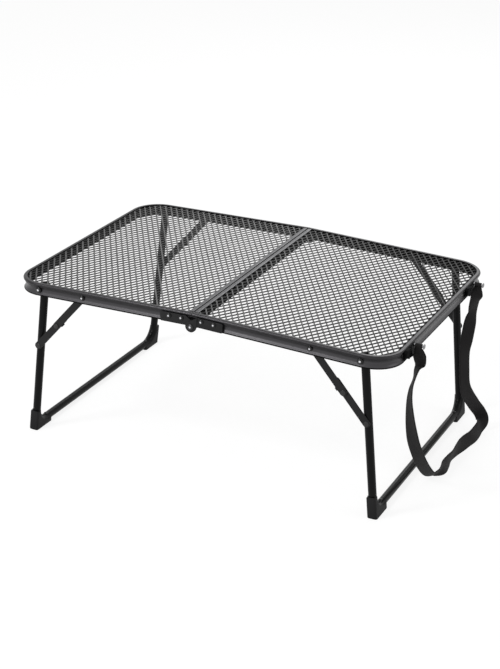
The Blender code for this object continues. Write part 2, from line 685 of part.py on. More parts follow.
def build_stay(side, y_side, names, carriers):
    """One stay: the upper and lower link, and the rivets at its top, middle and foot."""
    top, middle, foot = stay_places()
    radius = STAY_WIDTH / 2
    bore = RIVET_RADIUS + GAP
    upper_y, lower_y = y_side * UPPER_STAY_Y, y_side * LOWER_STAY_Y

    def at(place):
        return (side * place.x, place.y)

    outlines = [link_outline(top, middle, radius, side), circle(at(top), bore), circle(at(middle), bore)]
    upper = upright_plate(names["upper"], outlines, upper_y, STAY_THICKNESS)
    hang(upper, names["upper"], STAY_METAL, carriers["upper"])

    along = (foot - middle).normalized()
    across = Vector((along.y, -along.x))
    tail = middle - along * STAY_TAIL
    outlines = [link_outline(tail, foot, radius, side), circle(at(middle), bore), circle(at(foot), bore)]
    lower = to_mesh(upright_plate(names["lower"], outlines, lower_y, STAY_THICKNESS))
    lug_inner = across * (radius + GAP)
    lug_outer = across * (radius + GAP + STAY_LUG_WALL)
    lug_top = middle - along * (STAY_TAIL / 2 + STAY_LUG_LENGTH / 2)
    lug_end = lug_top + along * STAY_LUG_LENGTH
    lug_root = across * (radius - STAY_LUG_WALL)
    lug_outline = [lug_top + lug_inner, lug_end + lug_inner, lug_end + lug_outer, lug_top + lug_outer]
    root_outline = [lug_top + lug_root, lug_end + lug_root, lug_end + lug_outer, lug_top + lug_outer]
    lug_reach = UPPER_STAY_Y + STAY_THICKNESS / 2
    lug_depth = lug_reach - (LOWER_STAY_Y - STAY_THICKNESS / 2)
    lug_y = y_side * (lug_reach - lug_depth / 2)
    lug_name = f"{names['lower']}_lug"
    lug = to_mesh(upright_plate(lug_name, [[at(p) for p in lug_outline]], lug_y, lug_depth), CUTTERS)
    root = upright_plate(f"{lug_name}_root", [[at(p) for p in root_outline]], lower_y, STAY_THICKNESS)
    cut(lower, to_mesh(root, CUTTERS), "UNION")
    cut(lower, lug, "UNION")
    hang(lower, names["lower"], STAY_METAL, carriers["lower"])

    outward = (0, y_side, 0)
    head_radius = RIVET_RADIUS + HEAD_OVERHANG
    upper_faces = (UPPER_STAY_Y + STAY_THICKNESS / 2, UPPER_STAY_Y - STAY_THICKNESS / 2)
    lower_faces = (LOWER_STAY_Y + STAY_THICKNESS / 2, LOWER_STAY_Y - STAY_THICKNESS / 2)

    collar = (head_radius, RIM_FACE_Y - GAP, upper_faces[0] + GAP)
    head = (head_radius, HEAD_HEIGHT)
    foot_head = (head_radius, STAY_HEAD_HEIGHT)
    seat = face_seat(head_radius)
    profile = headed_pin(RIVET_RADIUS, seat, upper_faces[1] - GAP, head, foot_head, [collar])
    base = (side * top.x, 0, top.y)
    turned(names["top_rivet"], profile, base, outward, RIVET_METAL, carriers["half"])

    collar = (head_radius, upper_faces[1] - GAP, lower_faces[0] + GAP)
    profile = headed_pin(
        RIVET_RADIUS,
        upper_faces[0] + GAP,
        lower_faces[1] - GAP,
        (head_radius, STAY_HEAD_HEIGHT),
        (head_radius, THIN_HEAD_HEIGHT),
        [collar],
    )
    base = (side * middle.x, 0, middle.y)
    turned(names["middle_rivet"], profile, base, outward, RIVET_METAL, carriers["upper"])

    stub = lower_faces[1] - GAP - (TUBE_SIDE_Y + GAP)
    profile = headed_pin(
        RIVET_RADIUS, lower_faces[0] + GAP, lower_faces[1] - GAP, (head_radius, THIN_HEAD_HEIGHT), (head_radius, stub)
    )
    base = (side * foot.x, 0, foot.y)
    turned(names["foot_rivet"], profile, base, outward, RIVET_METAL, carriers["lower"])


def leaf_outline(side):
    """A hinge leaf in (x, z): a plate on the rim's face that runs into a round eye on the hinge axis."""
    top = HEIGHT - LEAF_EDGE_DROP
    bottom = HEIGHT - RIM_HEIGHT + GAP
    eye = arc((0.0, HINGE_Z), EYE_RADIUS, 100, 360, 10)
    neck_x = math.sqrt(EYE_RADIUS**2 - (bottom - HINGE_Z) ** 2)
    eye = [point for point in eye if point[0] < 0 or point[1] < bottom - 0.0008]
    corner = 0.002
    plate = [(neck_x, bottom), (LEAF_LENGTH - corner, bottom), (LEAF_LENGTH, bottom + corner)]
    plate += [(LEAF_LENGTH, top - corner), (LEAF_LENGTH - corner, top), (EYE_RADIUS, top)]
    return [(side * x, z) for x, z in eye + plate]


def build_hinge(y_side, names, left, right):
    """One middle hinge: the left leaf lies on the rim, the right leaf's eye passes in front of it."""
    inner_y = DEPTH / 2 + GAP + LEAF_THICKNESS / 2
    outer_y = inner_y + LEAF_THICKNESS + GAP
    rivet_holes = [circle((x, LEAF_RIVET_Z), RIVET_RADIUS + GAP) for x in LEAF_RIVETS]
    eye_hole = circle((0.0, HINGE_Z), PIN_RADIUS + GAP)

    outlines = [leaf_outline(-1), eye_hole] + [[(-x, z) for x, z in hole] for hole in rivet_holes]
    leaf = upright_plate(names["left_leaf"], outlines, y_side * inner_y, LEAF_THICKNESS)
    hang(leaf, names["left_leaf"], RIM_METAL, left)

    step = EYE_RADIUS + 2 * GAP
    outer_face, inner_face = outer_y + LEAF_THICKNESS / 2, inner_y - LEAF_THICKNESS / 2
    outer_back, inner_front = outer_y - LEAF_THICKNESS / 2, inner_y + LEAF_THICKNESS / 2
    wall = step + LEAF_THICKNESS
    bent = [(-2 * EYE_RADIUS, outer_face), (wall, outer_face), (wall + LEAF_THICKNESS / 4, inner_front)]
    bent += [(LEAF_LENGTH + 0.01, inner_front), (LEAF_LENGTH + 0.01, inner_face), (step, inner_face)]
    bent += [(step, outer_back), (-2 * EYE_RADIUS, outer_back)]
    bent = [(x, y_side * y) for x, y in bent]
    strip = to_mesh(add_plate(names["right_leaf"], [bent], 4 * RIM_HEIGHT))
    strip.location.z = HINGE_Z
    outlines = [leaf_outline(1), eye_hole, *rivet_holes]
    shape = to_mesh(
        upright_plate(f"{names['right_leaf']}_shape", outlines, y_side * inner_y, 8 * LEAF_THICKNESS), CUTTERS
    )
    cut(strip, shape, "INTERSECT")
    hang(strip, names["right_leaf"], RIM_METAL, right)

    outward = (0, y_side, 0)
    head = (PIN_RADIUS + HEAD_OVERHANG, HEAD_HEIGHT)
    profile = headed_pin(PIN_RADIUS, outer_face + GAP, inner_face, head, (0, 0))
    turned(names["pin"], profile, (0, 0, HINGE_Z), outward, RIVET_METAL, right)

    head = (RIVET_RADIUS + HEAD_OVERHANG, HEAD_HEIGHT)
    foot_head = (head[0], STAY_HEAD_HEIGHT)
    profile = headed_pin(RIVET_RADIUS, inner_front + GAP, RIM_FACE_Y - GAP, head, foot_head)
    for side, carrier, label in ((-1, left, "left"), (1, right, "right")):
        for x, place in zip(LEAF_RIVETS, ("inner", "outer")):
            base = (side * x, 0, LEAF_RIVET_Z)
            turned(names[f"{label}_{place}_rivet"], profile, base, outward, RIVET_METAL, carrier)


def build_strap_anchor(y_side, peg_name, anchor_name, carrier):
    """A moulded anchor on the right end with a steel peg through it, which the strap's end hangs from."""
    end = LENGTH / 2
    y = y_side * STRAP_Y
    z = HEIGHT - PEG_DROP
    high = y + ANCHOR_PAST_PEG
    low = high - ANCHOR_LENGTH

    block_end = low + ANCHOR_BLOCK_LENGTH
    edge_drop = ANCHOR_HEIGHT * 0.45
    knee = (low + ANCHOR_LENGTH * 0.53, ANCHOR_HEIGHT * 0.86)
    step_drop = edge_drop + (knee[1] - edge_drop) * ANCHOR_BLOCK_LENGTH / (knee[0] - low)
    plate_places = [(high, 0.0), (high, ANCHOR_HEIGHT), knee]
    block_places = [(low, edge_drop), (low, 0.003), (low + 0.003, 0.0)]
    step_places = [(block_end, step_drop), (block_end, 0.0)]

    def shape(work):
        """A plate against the rim's end with a thicker block at its far end, from (y, drop) places."""

        def verts(places, depth):
            return [work.verts.new((end + GAP + depth, py, HEIGHT - drop)) for py, drop in places]

        base = verts([*plate_places, step_places[0], *block_places, step_places[1]], 0.0)
        plate = verts([*plate_places, *step_places], ANCHOR_PLATE)
        block = verts([step_places[0], *block_places, step_places[1]], ANCHOR_BLOCK_DEPTH)
        work.faces.new(base)
        work.faces.new(plate)
        work.faces.new(block)
        work.faces.new((plate[3], plate[4], block[4], block[0]))
        work.faces.new((base[7], base[0], plate[0], plate[4]))
        for i in range(3):
            work.faces.new((base[i], base[i + 1], plate[i + 1], plate[i]))
        work.faces.new((base[3], base[4], block[1], block[0], plate[3]))
        for i in (1, 2):
            work.faces.new((base[i + 3], base[i + 4], block[i + 1], block[i]))
        work.faces.new((base[6], base[7], plate[4], block[4], block[3]))

    def bore(work):
        add_cylinder(work, (end - 0.01, y, z), (end + 0.03, y, z), PEG_RADIUS + GAP)

    anchor = mesh_object(anchor_name, shape)
    cut(anchor, mesh_object(f"{anchor_name}_bore", bore, CUTTERS))
    hang(anchor, anchor_name, BOOT_PLASTIC, carrier)

    head = (PEG_RADIUS + HEAD_OVERHANG, HEAD_HEIGHT)
    profile = headed_pin(PEG_RADIUS, end + PEG_REACH, end - PEG_ROOT, head, (0, 0))
    turned(peg_name, profile, (0, y, z), (1, 0, 0), RIVET_METAL, carrier)


def smooth_route(points, pieces):
    """Points on a smooth curve through the given ones."""
    result = []
    for i in range(len(points) - 1):
        before = points[max(i - 1, 0)]
        start, end = points[i], points[i + 1]
        after = points[min(i + 2, len(points) - 1)]
        for step in range(pieces):
            t = step / pieces
            weights = (
                -0.5 * t + t * t - 0.5 * t**3,
                1 - 2.5 * t * t + 1.5 * t**3,
                0.5 * t + 2 * t * t - 1.5 * t**3,
                -0.5 * t * t + 0.5 * t**3,
            )
            four = (before, start, end, after)
            result.append(tuple(sum(w * p[k] for w, p in zip(weights, four)) for k in range(5)))
    result.append(points[-1])
    return result


def build_strap(name, carrier):
    """The webbing strap as one flat band that turns as it hangs, drawn in at its ends."""
    stations = smooth_route(STRAP_ROUTE, 2)

    def band(work):
        rings = []
        for i, (x, y, z, heading, tilt) in enumerate(stations):
            here = Vector((x, y, z))
            ahead = Vector(stations[min(i + 1, len(stations) - 1)][:3])
            behind = Vector(stations[max(i - 1, 0)][:3])
            tangent = (ahead - behind).normalized()
            heading, tilt = math.radians(heading), math.radians(tilt)
            width = Vector((math.cos(heading) * math.cos(tilt), math.sin(heading) * math.cos(tilt), math.sin(tilt)))
            width = (width - tangent * width.dot(tangent)).normalized()
            face = tangent.cross(width)
            from_end = min(i, len(stations) - 1 - i) / 3
            half = STRAP_WIDTH / 2 * min(1.0, STRAP_PINCH + (1 - STRAP_PINCH) * from_end)
            corners = []
            for a, b in ((-1, -1), (1, -1), (1, 1), (-1, 1)):
                corners.append(here + width * (a * half) + face * (b * STRAP_THICKNESS / 2))
            rings.append([work.verts.new(corner) for corner in corners])
        for first, second in zip(rings, rings[1:]):
            for k in range(4):
                work.faces.new((first[k], first[(k + 1) % 4], second[(k + 1) % 4], second[k]))
        work.faces.new(rings[0])
        work.faces.new(rings[-1])

    strap = mesh_object(name, band)
    finish(strap, name, WEBBING)
    bpy.context.view_layer.update()
    strap.parent = carrier
    strap.matrix_parent_inverse = carrier.matrix_world.inverted()


SIDES = {"left": -1, "right": 1}
ENDS = {"front": -1, "back": 1}


def build_table():
    halves = {label: add_half(f"{label}_half", side) for label, side in SIDES.items()}
    top, middle, _ = stay_places()

    def floor(work):
        add_box(work, (-LENGTH, -DEPTH, -HEIGHT), (LENGTH, DEPTH, 0.0))

    floor_cutter = mesh_object("floor_space", floor, CUTTERS)
    for label, side in SIDES.items():
        half = halves[label]
        build_rim(side, f"{label}_rim", half)
        build_bar(side, f"{label}_center_bar", half)
        build_panel(side, f"{label}_mesh_panel", half)
        leg = add_pivot(f"{label}_leg", (side * PIVOT_X, 0, PIVOT_Z), half)
        build_leg(side, f"{label}_leg_frame", leg)
        tube_space = to_mesh(tube_curve(f"{label}_tube_space", side, TUBE_RADIUS + GAP, True, CUTTERS), CUTTERS)
        attach(tube_space, leg)
        for end, y_side in ENDS.items():
            corner = f"{end}_{label}"
            build_boot(side, y_side, f"{corner}_boot", tube_space, floor_cutter, leg)
            build_leg_pivot(side, y_side, f"{corner}_leg_pin", f"{corner}_leg_bush", half)
            carriers = {"half": half}
            carriers["upper"] = add_pivot(f"{corner}_upper_stay_pivot", (side * top.x, 0, top.y), half)
            place = (side * middle.x, 0, middle.y)
            carriers["lower"] = add_pivot(f"{corner}_lower_stay_pivot", place, carriers["upper"])
            names = {
                "upper": f"{corner}_upper_stay",
                "lower": f"{corner}_lower_stay",
                "top_rivet": f"{corner}_stay_top_rivet",
                "middle_rivet": f"{corner}_stay_middle_rivet",
                "foot_rivet": f"{corner}_stay_foot_rivet",
            }
            build_stay(side, y_side, names, carriers)
    for end, y_side in ENDS.items():
        pieces = ["left_leaf", "right_leaf", "pin"]
        pieces += [f"{label}_{place}_rivet" for label in SIDES for place in ("inner", "outer")]
        names = {piece: f"{end}_hinge_{piece}" for piece in pieces}
        build_hinge(y_side, names, halves["left"], halves["right"])
        build_strap_anchor(y_side, f"{end}_strap_peg", f"{end}_strap_anchor", halves["right"])
    build_strap("strap", halves["right"])


build_table()
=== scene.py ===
"""Looks of the folding camp table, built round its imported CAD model.

Metres, +Z up, in the CAD model's frame: X along the table, Y along its depth with the front at -Y, the floor
at Z 0. The pieces of each half are drawn lying flat and then tilted up to the seam. A drop is a depth below
the table top, and an inset is a distance inwards from the outer face of the rim.
"""

import json
import math

import bmesh
import bpy
from bpy.props import FloatProperty, FloatVectorProperty, IntProperty, PointerProperty
from mathutils import Euler, Matrix, Vector

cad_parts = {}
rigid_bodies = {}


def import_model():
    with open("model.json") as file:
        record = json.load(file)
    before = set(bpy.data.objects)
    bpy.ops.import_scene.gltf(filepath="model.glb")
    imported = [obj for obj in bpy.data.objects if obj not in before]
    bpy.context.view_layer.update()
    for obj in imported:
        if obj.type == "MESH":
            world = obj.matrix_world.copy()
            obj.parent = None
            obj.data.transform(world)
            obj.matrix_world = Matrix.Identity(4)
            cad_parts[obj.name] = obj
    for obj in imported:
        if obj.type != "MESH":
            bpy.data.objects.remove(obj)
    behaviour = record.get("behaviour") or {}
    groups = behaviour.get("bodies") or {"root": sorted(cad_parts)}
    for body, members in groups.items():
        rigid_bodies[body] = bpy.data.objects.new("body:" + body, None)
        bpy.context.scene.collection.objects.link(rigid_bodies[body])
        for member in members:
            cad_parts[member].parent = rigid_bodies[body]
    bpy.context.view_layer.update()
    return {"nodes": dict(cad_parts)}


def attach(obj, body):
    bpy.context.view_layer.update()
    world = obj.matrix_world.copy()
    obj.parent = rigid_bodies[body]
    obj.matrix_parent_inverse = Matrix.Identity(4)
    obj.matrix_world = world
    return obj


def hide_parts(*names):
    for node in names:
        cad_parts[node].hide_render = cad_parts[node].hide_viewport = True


bl_info = {
    "name": "Folding Camp Table",
    "version": (1, 0, 0),
    "blender": (4, 5, 0),
    "location": "3D View > Sidebar > Camp Table",
    "description": "Dresses the CAD model of a folding camp table with its finished pieces",
    "category": "Object",
}

for leftover in list(bpy.data.objects):
    bpy.data.objects.remove(leftover, do_unlink=True)
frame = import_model()

# Sizes of the CAD model
LENGTH = 0.600
DEPTH = 0.400
HEIGHT = 0.250
RIDGE = math.radians(1.45)
GAP = 0.0003
CORNER_RADIUS = 0.045
BEAD_HEIGHT = 0.0050
BEAD_WIDTH = 0.0074
COVE_INSET = 0.0030
RIM_WALL = 0.0016
LIP_HEIGHT = 0.0018
LEDGE_WIDTH = 0.0020
LEDGE_THICKNESS = 0.0010
RIM_BELOW_FEET = 0.0016
PANEL_DROP = 0.0010
PANEL_THICKNESS = 0.0010
BAR_HEIGHT = 0.0160
BAR_WIDTH = 0.0070
TUBE_RADIUS = 0.0060
TUBE_WALL = 0.0012
TUBE_END = 0.0050
BEND_RADIUS = 0.0260
PIVOT_INSET = 0.0460
SPLAY = math.radians(6.2)
FOLD_ROOM = 0.0006
BOOT_WALL = 0.0011
BOOT_HEIGHT = 0.0330
BOOT_LENGTH = 0.0340
SOLE = 0.0013
STAY_THICKNESS = 0.0015
STAY_WIDTH = 0.0110
STAY_STANDOFF = 0.0026
STAY_SPACE = 0.0012
STAY_LEG_SPACE = 0.0011
STAY_TOP_REACH = 0.0740
STAY_FOOT_REACH = 0.0960
STAY_TAIL = 0.0180
STAY_LUG_LENGTH = 0.0050
STAY_LUG_WALL = 0.0012
PIN_RADIUS = 0.0025
RIVET_RADIUS = 0.0018
HEAD_OVERHANG = 0.0020
HEAD_HEIGHT = 0.0018
STAY_HEAD_HEIGHT = 0.0009
THIN_HEAD_HEIGHT = 0.0005
BUSH_WALL = 0.0014
BUSH_PLAY = 0.0007
HINGE_DROP_BELOW_RIM = 0.0003
LEAF_THICKNESS = 0.0015
LEAF_LENGTH = 0.0490
LEAF_EDGE_DROP = 0.0044
EYE_RADIUS = 0.0082
LEAF_RIVETS = (0.0155, 0.0350)
LEAF_RIVET_DROP = 0.0088
STRAP_Y = 0.1250
STRAP_WIDTH = 0.0200
STRAP_THICKNESS = 0.0016
STRAP_GATHER = 0.50
PEG_DROP = 0.0030
PEG_RADIUS = 0.0018
PEG_REACH = 0.0162
PEG_ROOT = 0.0036
LOOP_LENGTH = 0.0160
LOOP_THICKNESS = 0.0011

# Places that follow from them
BOOT_HALF = TUBE_RADIUS + GAP + BOOT_WALL
PIVOT_DROP = PANEL_DROP + PANEL_THICKNESS + FOLD_ROOM + BOOT_HALF
RIM_HEIGHT = PIVOT_DROP + BOOT_HALF + RIM_BELOW_FEET
RIM_INNER = COVE_INSET + RIM_WALL
SEAT_DROP = PANEL_DROP + PANEL_THICKNESS + GAP
PIVOT_X = LENGTH / 2 - PIVOT_INSET
PIVOT_Z = HEIGHT - PIVOT_DROP
HINGE_Z = HEIGHT - RIM_HEIGHT - HINGE_DROP_BELOW_RIM
SEAM_RISE = (HEIGHT - HINGE_Z) * (1 - math.cos(RIDGE)) + LENGTH / 2 * math.sin(RIDGE)
STANDING_PIVOT_Z = HINGE_Z + SEAM_RISE + (PIVOT_Z - HINGE_Z) * math.cos(RIDGE) - PIVOT_X * math.sin(RIDGE)
RIM_FACE_Y = DEPTH / 2 - RIM_INNER
LEAF_RIVET_Z = HEIGHT - LEAF_RIVET_DROP
UPPER_STAY_Y = RIM_FACE_Y - STAY_STANDOFF - STAY_THICKNESS / 2
LOWER_STAY_Y = UPPER_STAY_Y - STAY_THICKNESS - STAY_SPACE
TUBE_SIDE_Y = LOWER_STAY_Y - STAY_THICKNESS / 2 - STAY_LEG_SPACE
LEG_Y = TUBE_SIDE_Y - TUBE_RADIUS
CROSSBAR_Z = TUBE_RADIUS + GAP + SOLE
LEG_LENGTH = (STANDING_PIVOT_Z - CROSSBAR_Z) / math.cos(SPLAY)

SIDES = {"left": -1, "right": 1}
ENDS = {"front": -1, "back": 1}

# Smoothness of round shapes
CORNER_STEPS = 24
BEND_STEPS = 16
TUBE_SIDES = 28
TURN_STEPS = 28
HOLE_STEPS = 28
EDGE_STEPS = 2
PLATE_EDGE = 0.00025

# Sizes that only the finished pieces have
BEAD_SHOULDER = 0.0018
BEAD_FOOT = (0.0015, BEAD_HEIGHT + 0.0002)
BAR_SHOULDER = 0.0013
LIP_RADIUS = 0.0009
COVE_EDGE = 0.07
# Depth below the bead from which the rim's outer face is painted paler, a painted light
PAINTED_LIGHT_BELOW_BEAD = 0.0040
# Height above the rim's foot from which the rim is painted nearly black, a painted shade
PAINTED_SHADE_ABOVE_FEET = 0.0017
MESH_LAP = 0.0007
BOND_LENGTH = 0.0024
BOND_LAP = 0.0016
TUBE_EDGE = 0.0003
BOOT_EDGE = 0.0030
BOOT_CORNER = 0.0060
BOOT_TRIM = 0.0040
BOOT_LIP = 0.0022
BOOT_SIDE_LIP = 0.0024
LEAF_CORNER = 0.0020
LEAF_NECK = 0.0004
LEAF_RAMP = LEAF_THICKNESS * 1.25
SCREW_RADIUS = 0.0015
SCREW_HEAD = (0.0029, 0.0019)
# Size of the painted highlight at the top middle of turned heads
PAINTED_HIGHLIGHT_RADIUS = 0.0011
PAINTED_HIGHLIGHT_DEPTH = 0.0002
ANCHOR_EDGE = 0.0006
STITCH_MARGIN = 0.0022
STITCH_SPACING = 1.45
STITCH_LIFT = 0.52
SEWN_FROM = 0.0050
SEWN_INSET = 0.0006

# Counts, angles and distances for drawing them
NOISE_LOW = 0.3
NOISE_HIGH = 0.7
SHOULDER_STEPS = 4
COVE_STEPS = 11
STRAP_STEPS = 8
TURN_BACK_STEPS = 6
NEAR_RINGS = 40
STITCH_ROWS = (8, 2)
SOFT_ANGLE = 60
GROUND_DEPTH = 0.1
FLOOR_HALF = 6.0
HAIR = 0.0001
WELD = 1e-6

# Camera at the photograph's angle
CAMERA_PLACE = (0.931686, -1.946441, 1.112791)
CAMERA_TURN = (65.8806, -1.238, 26.2602)
CAMERA_LENS = 83.33

# Studio lights: name, place, size and power
LIGHT_AIM = (0.0, 0.0, 0.2)
LIGHTS = (
    ("key_light", (-1.1, -1.5, 2.0), 0.5, 20.0),
    ("front_light", (-0.8, -2.1, 0.8), 0.8, 11.0),
    ("right_light", (2.4, 0.3, 1.2), 1.6, 10.0),
    ("back_light", (-0.4, 2.2, 1.6), 1.2, 8.0),
)

# Metals: colour, share of it, metallic, roughness, grain and its relief, worn edges, specular, painted
# highlight on tips
METALS = {
    "leaf_metal": ("rim", 0.3, 0.0, 0.42, 1900.0, 0.00003, 2.2, 0.2, 1.0),
    "panel_metal": ("mesh", 1.0, 0.0, 0.30, 1700.0, 0.00003, 1.8, 0.22, 1.0),
    "leg_metal": ("paint", 1.0, 0.0, 0.26, 1200.0, 0.00002, 2.2, 0.1, 1.0),
    "stay_metal": ("paint", 2.0, 0.0, 0.42, 1500.0, 0.00003, 2.0, 0.2, 1.0),
    "rivet_metal": ("steel", 0.05, 0.0, 0.24, 1800.0, 0.00001, 2.2, 0.25, 95.0),
    "dark_rivet": ("steel", 0.07, 0.0, 0.24, 1800.0, 0.00001, 2.2, 0.4, 1.0),
    "hinge_pin": ("steel", 0.3, 1.0, 0.26, 1800.0, 0.00001, 1.6, 0.5, 15.0),
    "peg_steel": ("steel", 1.4, 1.0, 0.28, 1600.0, 0.00001, 1.6, 0.5, 1.0),
}

# Strap route from the front peg to the back peg: place, then the heading and tilt of its width in degrees
STRAP_ROUTE = (
    (0.3089, -0.1255, 0.2432, -2, 0),
    (0.3112, -0.1250, 0.2320, -4, 5),
    (0.3122, -0.1245, 0.2190, -23, 18),
    (0.3100, -0.1300, 0.2120, -47, 28),
    (0.3090, -0.1340, 0.2010, -62, 26),
    (0.3070, -0.1380, 0.1860, -56, 30),
    (0.3060, -0.1370, 0.1670, -51, 30),
    (0.3060, -0.1300, 0.1390, -40, 30),
    (0.3060, -0.1190, 0.1110, -31, 33),
    (0.3060, -0.1050, 0.0850, -24, 34),
    (0.3080, -0.0840, 0.0530, -20, 37),
    (0.3100, -0.0640, 0.0280, -18, 38),
    (0.3135, -0.0465, 0.0105, -32, 42),
    (0.3200, -0.0370, 0.0101, -77, 42),
    (0.3245, -0.0230, 0.0110, -107, 42),
    (0.3240, -0.0020, 0.0108, -98, 35),
    (0.3230, 0.0220, 0.0108, -85, 34),
    (0.3235, 0.0470, 0.0109, -105, 46),
    (0.3265, 0.0760, 0.0105, -160, 53),
    (0.3305, 0.0980, 0.0105, -155, 54),
    (0.3300, 0.1280, 0.0110, -112, 38),
    (0.3280, 0.1470, 0.0160, -120, -20),
    (0.3210, 0.1540, 0.0240, -141, -38),
    (0.3150, 0.1330, 0.0480, -144, -34),
    (0.3090, 0.1080, 0.0810, -122, -3),
    (0.3060, 0.1030, 0.1140, -121, 9),
    (0.3045, 0.1020, 0.1440, -123, 8),
    (0.3045, 0.1070, 0.1640, -142, 11),
    (0.3045, 0.1150, 0.1850, -142, 10),
    (0.3045, 0.1240, 0.2020, -112, 16),
    (0.3072, 0.1195, 0.2190, -115, 14),
    (0.3102, 0.1190, 0.2310, -140, 6),
    (0.3089, 0.1240, 0.2432, -178, 0),
)


def length_of(label, words, default):
    """A length that the user can change."""
    return FloatProperty(name=label, description=words, default=default, unit="LENGTH", precision=4)


def color_of(label, words, default):
    """A colour that the user can change."""
    return FloatVectorProperty(
        name=label, description=words, default=default, subtype="COLOR", size=3, min=0, max=1
    )


class CampTableSizes(bpy.types.PropertyGroup):
    """Sizes of the finished pieces that don't change the CAD model's own."""

    diamond_short: length_of("Diamond Width", "Width of a diamond in the tops", 0.0102)
    diamond_long: length_of("Diamond Length", "Length of a diamond in the tops", 0.0162)
    strand_width: length_of("Strand Width", "Width of a strand in the tops", 0.0023)
    strand_thickness: length_of("Strand Thickness", "Thickness of the sheet", 0.0009)
    strand_tilt: FloatProperty(
        name="Strand Tilt", description="Turn of the strands", default=math.radians(20), subtype="ANGLE"
    )
    webbing_rows: IntProperty(
        name="Webbing Rows", description="Ribs in one strap width", default=18, min=4, max=40
    )
    stitch_length: length_of("Stitch Length", "Length of a stitch on the strap", 0.0017)
    stitch_thickness: length_of("Stitch Thickness", "Thickness of the thread", 0.0004)


class CampTableColors(bpy.types.PropertyGroup):
    """Colours of the finishes."""

    rim: color_of("Rims", "Colour of the coated rims and hinge leaves", (0.031, 0.030, 0.032))
    bar: color_of("Center Bars", "Colour of the bars along the seam", (0.074, 0.074, 0.077))
    mesh: color_of("Mesh", "Colour of the expanded-metal tops", (0.007, 0.007, 0.007))
    paint: color_of("Legs", "Colour of the painted tubes and stays", (0.004, 0.004, 0.0043))
    steel: color_of("Steel", "Colour of rivets and pins", (0.16, 0.16, 0.165))
    plastic: color_of("Plastic", "Colour of the moulded pieces", (0.0035, 0.0035, 0.0038))
    webbing: color_of("Webbing", "Colour of the strap", (0.009, 0.0082, 0.0085))


class Graph:
    """Adds nodes to one tree. A socket given for an input is linked to it, any other value is set on it."""

    def __init__(self, tree):
        self.tree = tree

    def put(self, socket, value):
        if isinstance(value, bpy.types.NodeSocket):
            self.tree.links.new(value, socket)
        else:
            socket.default_value = value

    def add(self, kind, inputs=None, **settings):
        node = self.tree.nodes.new(kind)
        for name, value in settings.items():
            setattr(node, name, value)
        for name, value in (inputs or {}).items():
            self.put(node.inputs[name], value)
        return node

    def first(self, kind, inputs=None, **settings):
        """The first output of a new node."""
        return self.add(kind, inputs, **settings).outputs[0]

    def math(self, operation, *values):
        node = self.add("ShaderNodeMath", operation=operation)
        for socket, value in zip(node.inputs, values):
            self.put(socket, value)
        return node.outputs[0]

    def plus(self, left, right):
        return self.math("ADD", left, right)

    def minus(self, left, right):
        return self.math("SUBTRACT", left, right)

    def times(self, left, right):
        return self.math("MULTIPLY", left, right)

    def over(self, left, right):
        return self.math("DIVIDE", left, right)

    def greater(self, left, right):
        return self.math("MAXIMUM", left, right)

    def xyz(self, vector):
        return self.add("ShaderNodeSeparateXYZ", {"Vector": vector}).outputs

    def vector(self, x=0.0, y=0.0, z=0.0):
        return self.first("ShaderNodeCombineXYZ", {"X": x, "Y": y, "Z": z})

    def seen(self):
        """1 on rays from the camera, off a glossy face or through a clear one, and 0 on the others."""
        path = self.add("ShaderNodeLightPath").outputs
        seen = self.greater(path["Is Camera Ray"], path["Is Glossy Ray"])
        return self.greater(seen, path["Is Transmission Ray"])


def shade(color, share):
    return tuple(min(1.0, channel * share) for channel in color)


class Finish(Graph):
    """The graph of a new material, with its colour, its shader's inputs and the place on the piece."""

    def __init__(self, name, color, metallic=0.0, specular=0.5):
        self.color = color
        self.material = bpy.data.materials.new(name)
        self.material.use_nodes = True
        super().__init__(self.material.node_tree)
        self.shader = self.tree.nodes["Principled BSDF"].inputs
        self.shader["Metallic"].default_value = metallic
        self.shader["Specular IOR Level"].default_value = specular
        self.place = self.add("ShaderNodeTexCoord").outputs["Object"]

    def noise(self, scale, detail, place=None):
        sockets = {"Vector": place or self.place, "Scale": scale, "Detail": detail}
        return self.add("ShaderNodeTexNoise", sockets).outputs["Fac"]

    def spread(self, value, to_low=0.0, to_high=1.0, low=NOISE_LOW, high=NOISE_HIGH):
        """Stretches the middle of a noise, or of another range, over a new range."""
        sockets = {"Value": value, "From Min": low, "From Max": high, "To Min": to_low, "To Max": to_high}
        return self.first("ShaderNodeMapRange", sockets)

    def mix(self, share, *tones):
        """Mixes two tones, each of them a socket or else a share of the finish's colour."""
        node = self.add("ShaderNodeMix", data_type="RGBA")
        self.put(node.inputs[0], share)
        for socket, tone in zip((node.inputs[6], node.inputs[7]), tones):
            mixed = tone if isinstance(tone, bpy.types.NodeSocket) else (*shade(self.color, tone), 1.0)
            self.put(socket, mixed)
        return node.outputs[2]

    def marked(self, name):
        """A share that the mesh's points carry."""
        return self.add("ShaderNodeAttribute", attribute_name=name).outputs["Fac"]

    def rubbed(self, scale):
        """Wear on the edges, in patches."""
        return self.times(self.marked("edge"), self.spread(self.noise(scale, 3.0), low=0.35))

    def run(self):
        """Coordinates along and round a swept piece."""
        return self.xyz(self.add("ShaderNodeUVMap", uv_map="run").outputs["UV"])

    def end(self, color, roughness, height, distance, strength):
        bump = {"Height": height, "Distance": distance, "Strength": strength}
        self.put(self.shader["Base Color"], color)
        self.put(self.shader["Roughness"], roughness)
        self.put(self.shader["Normal"], self.first("ShaderNodeBump", bump))
        return self.material


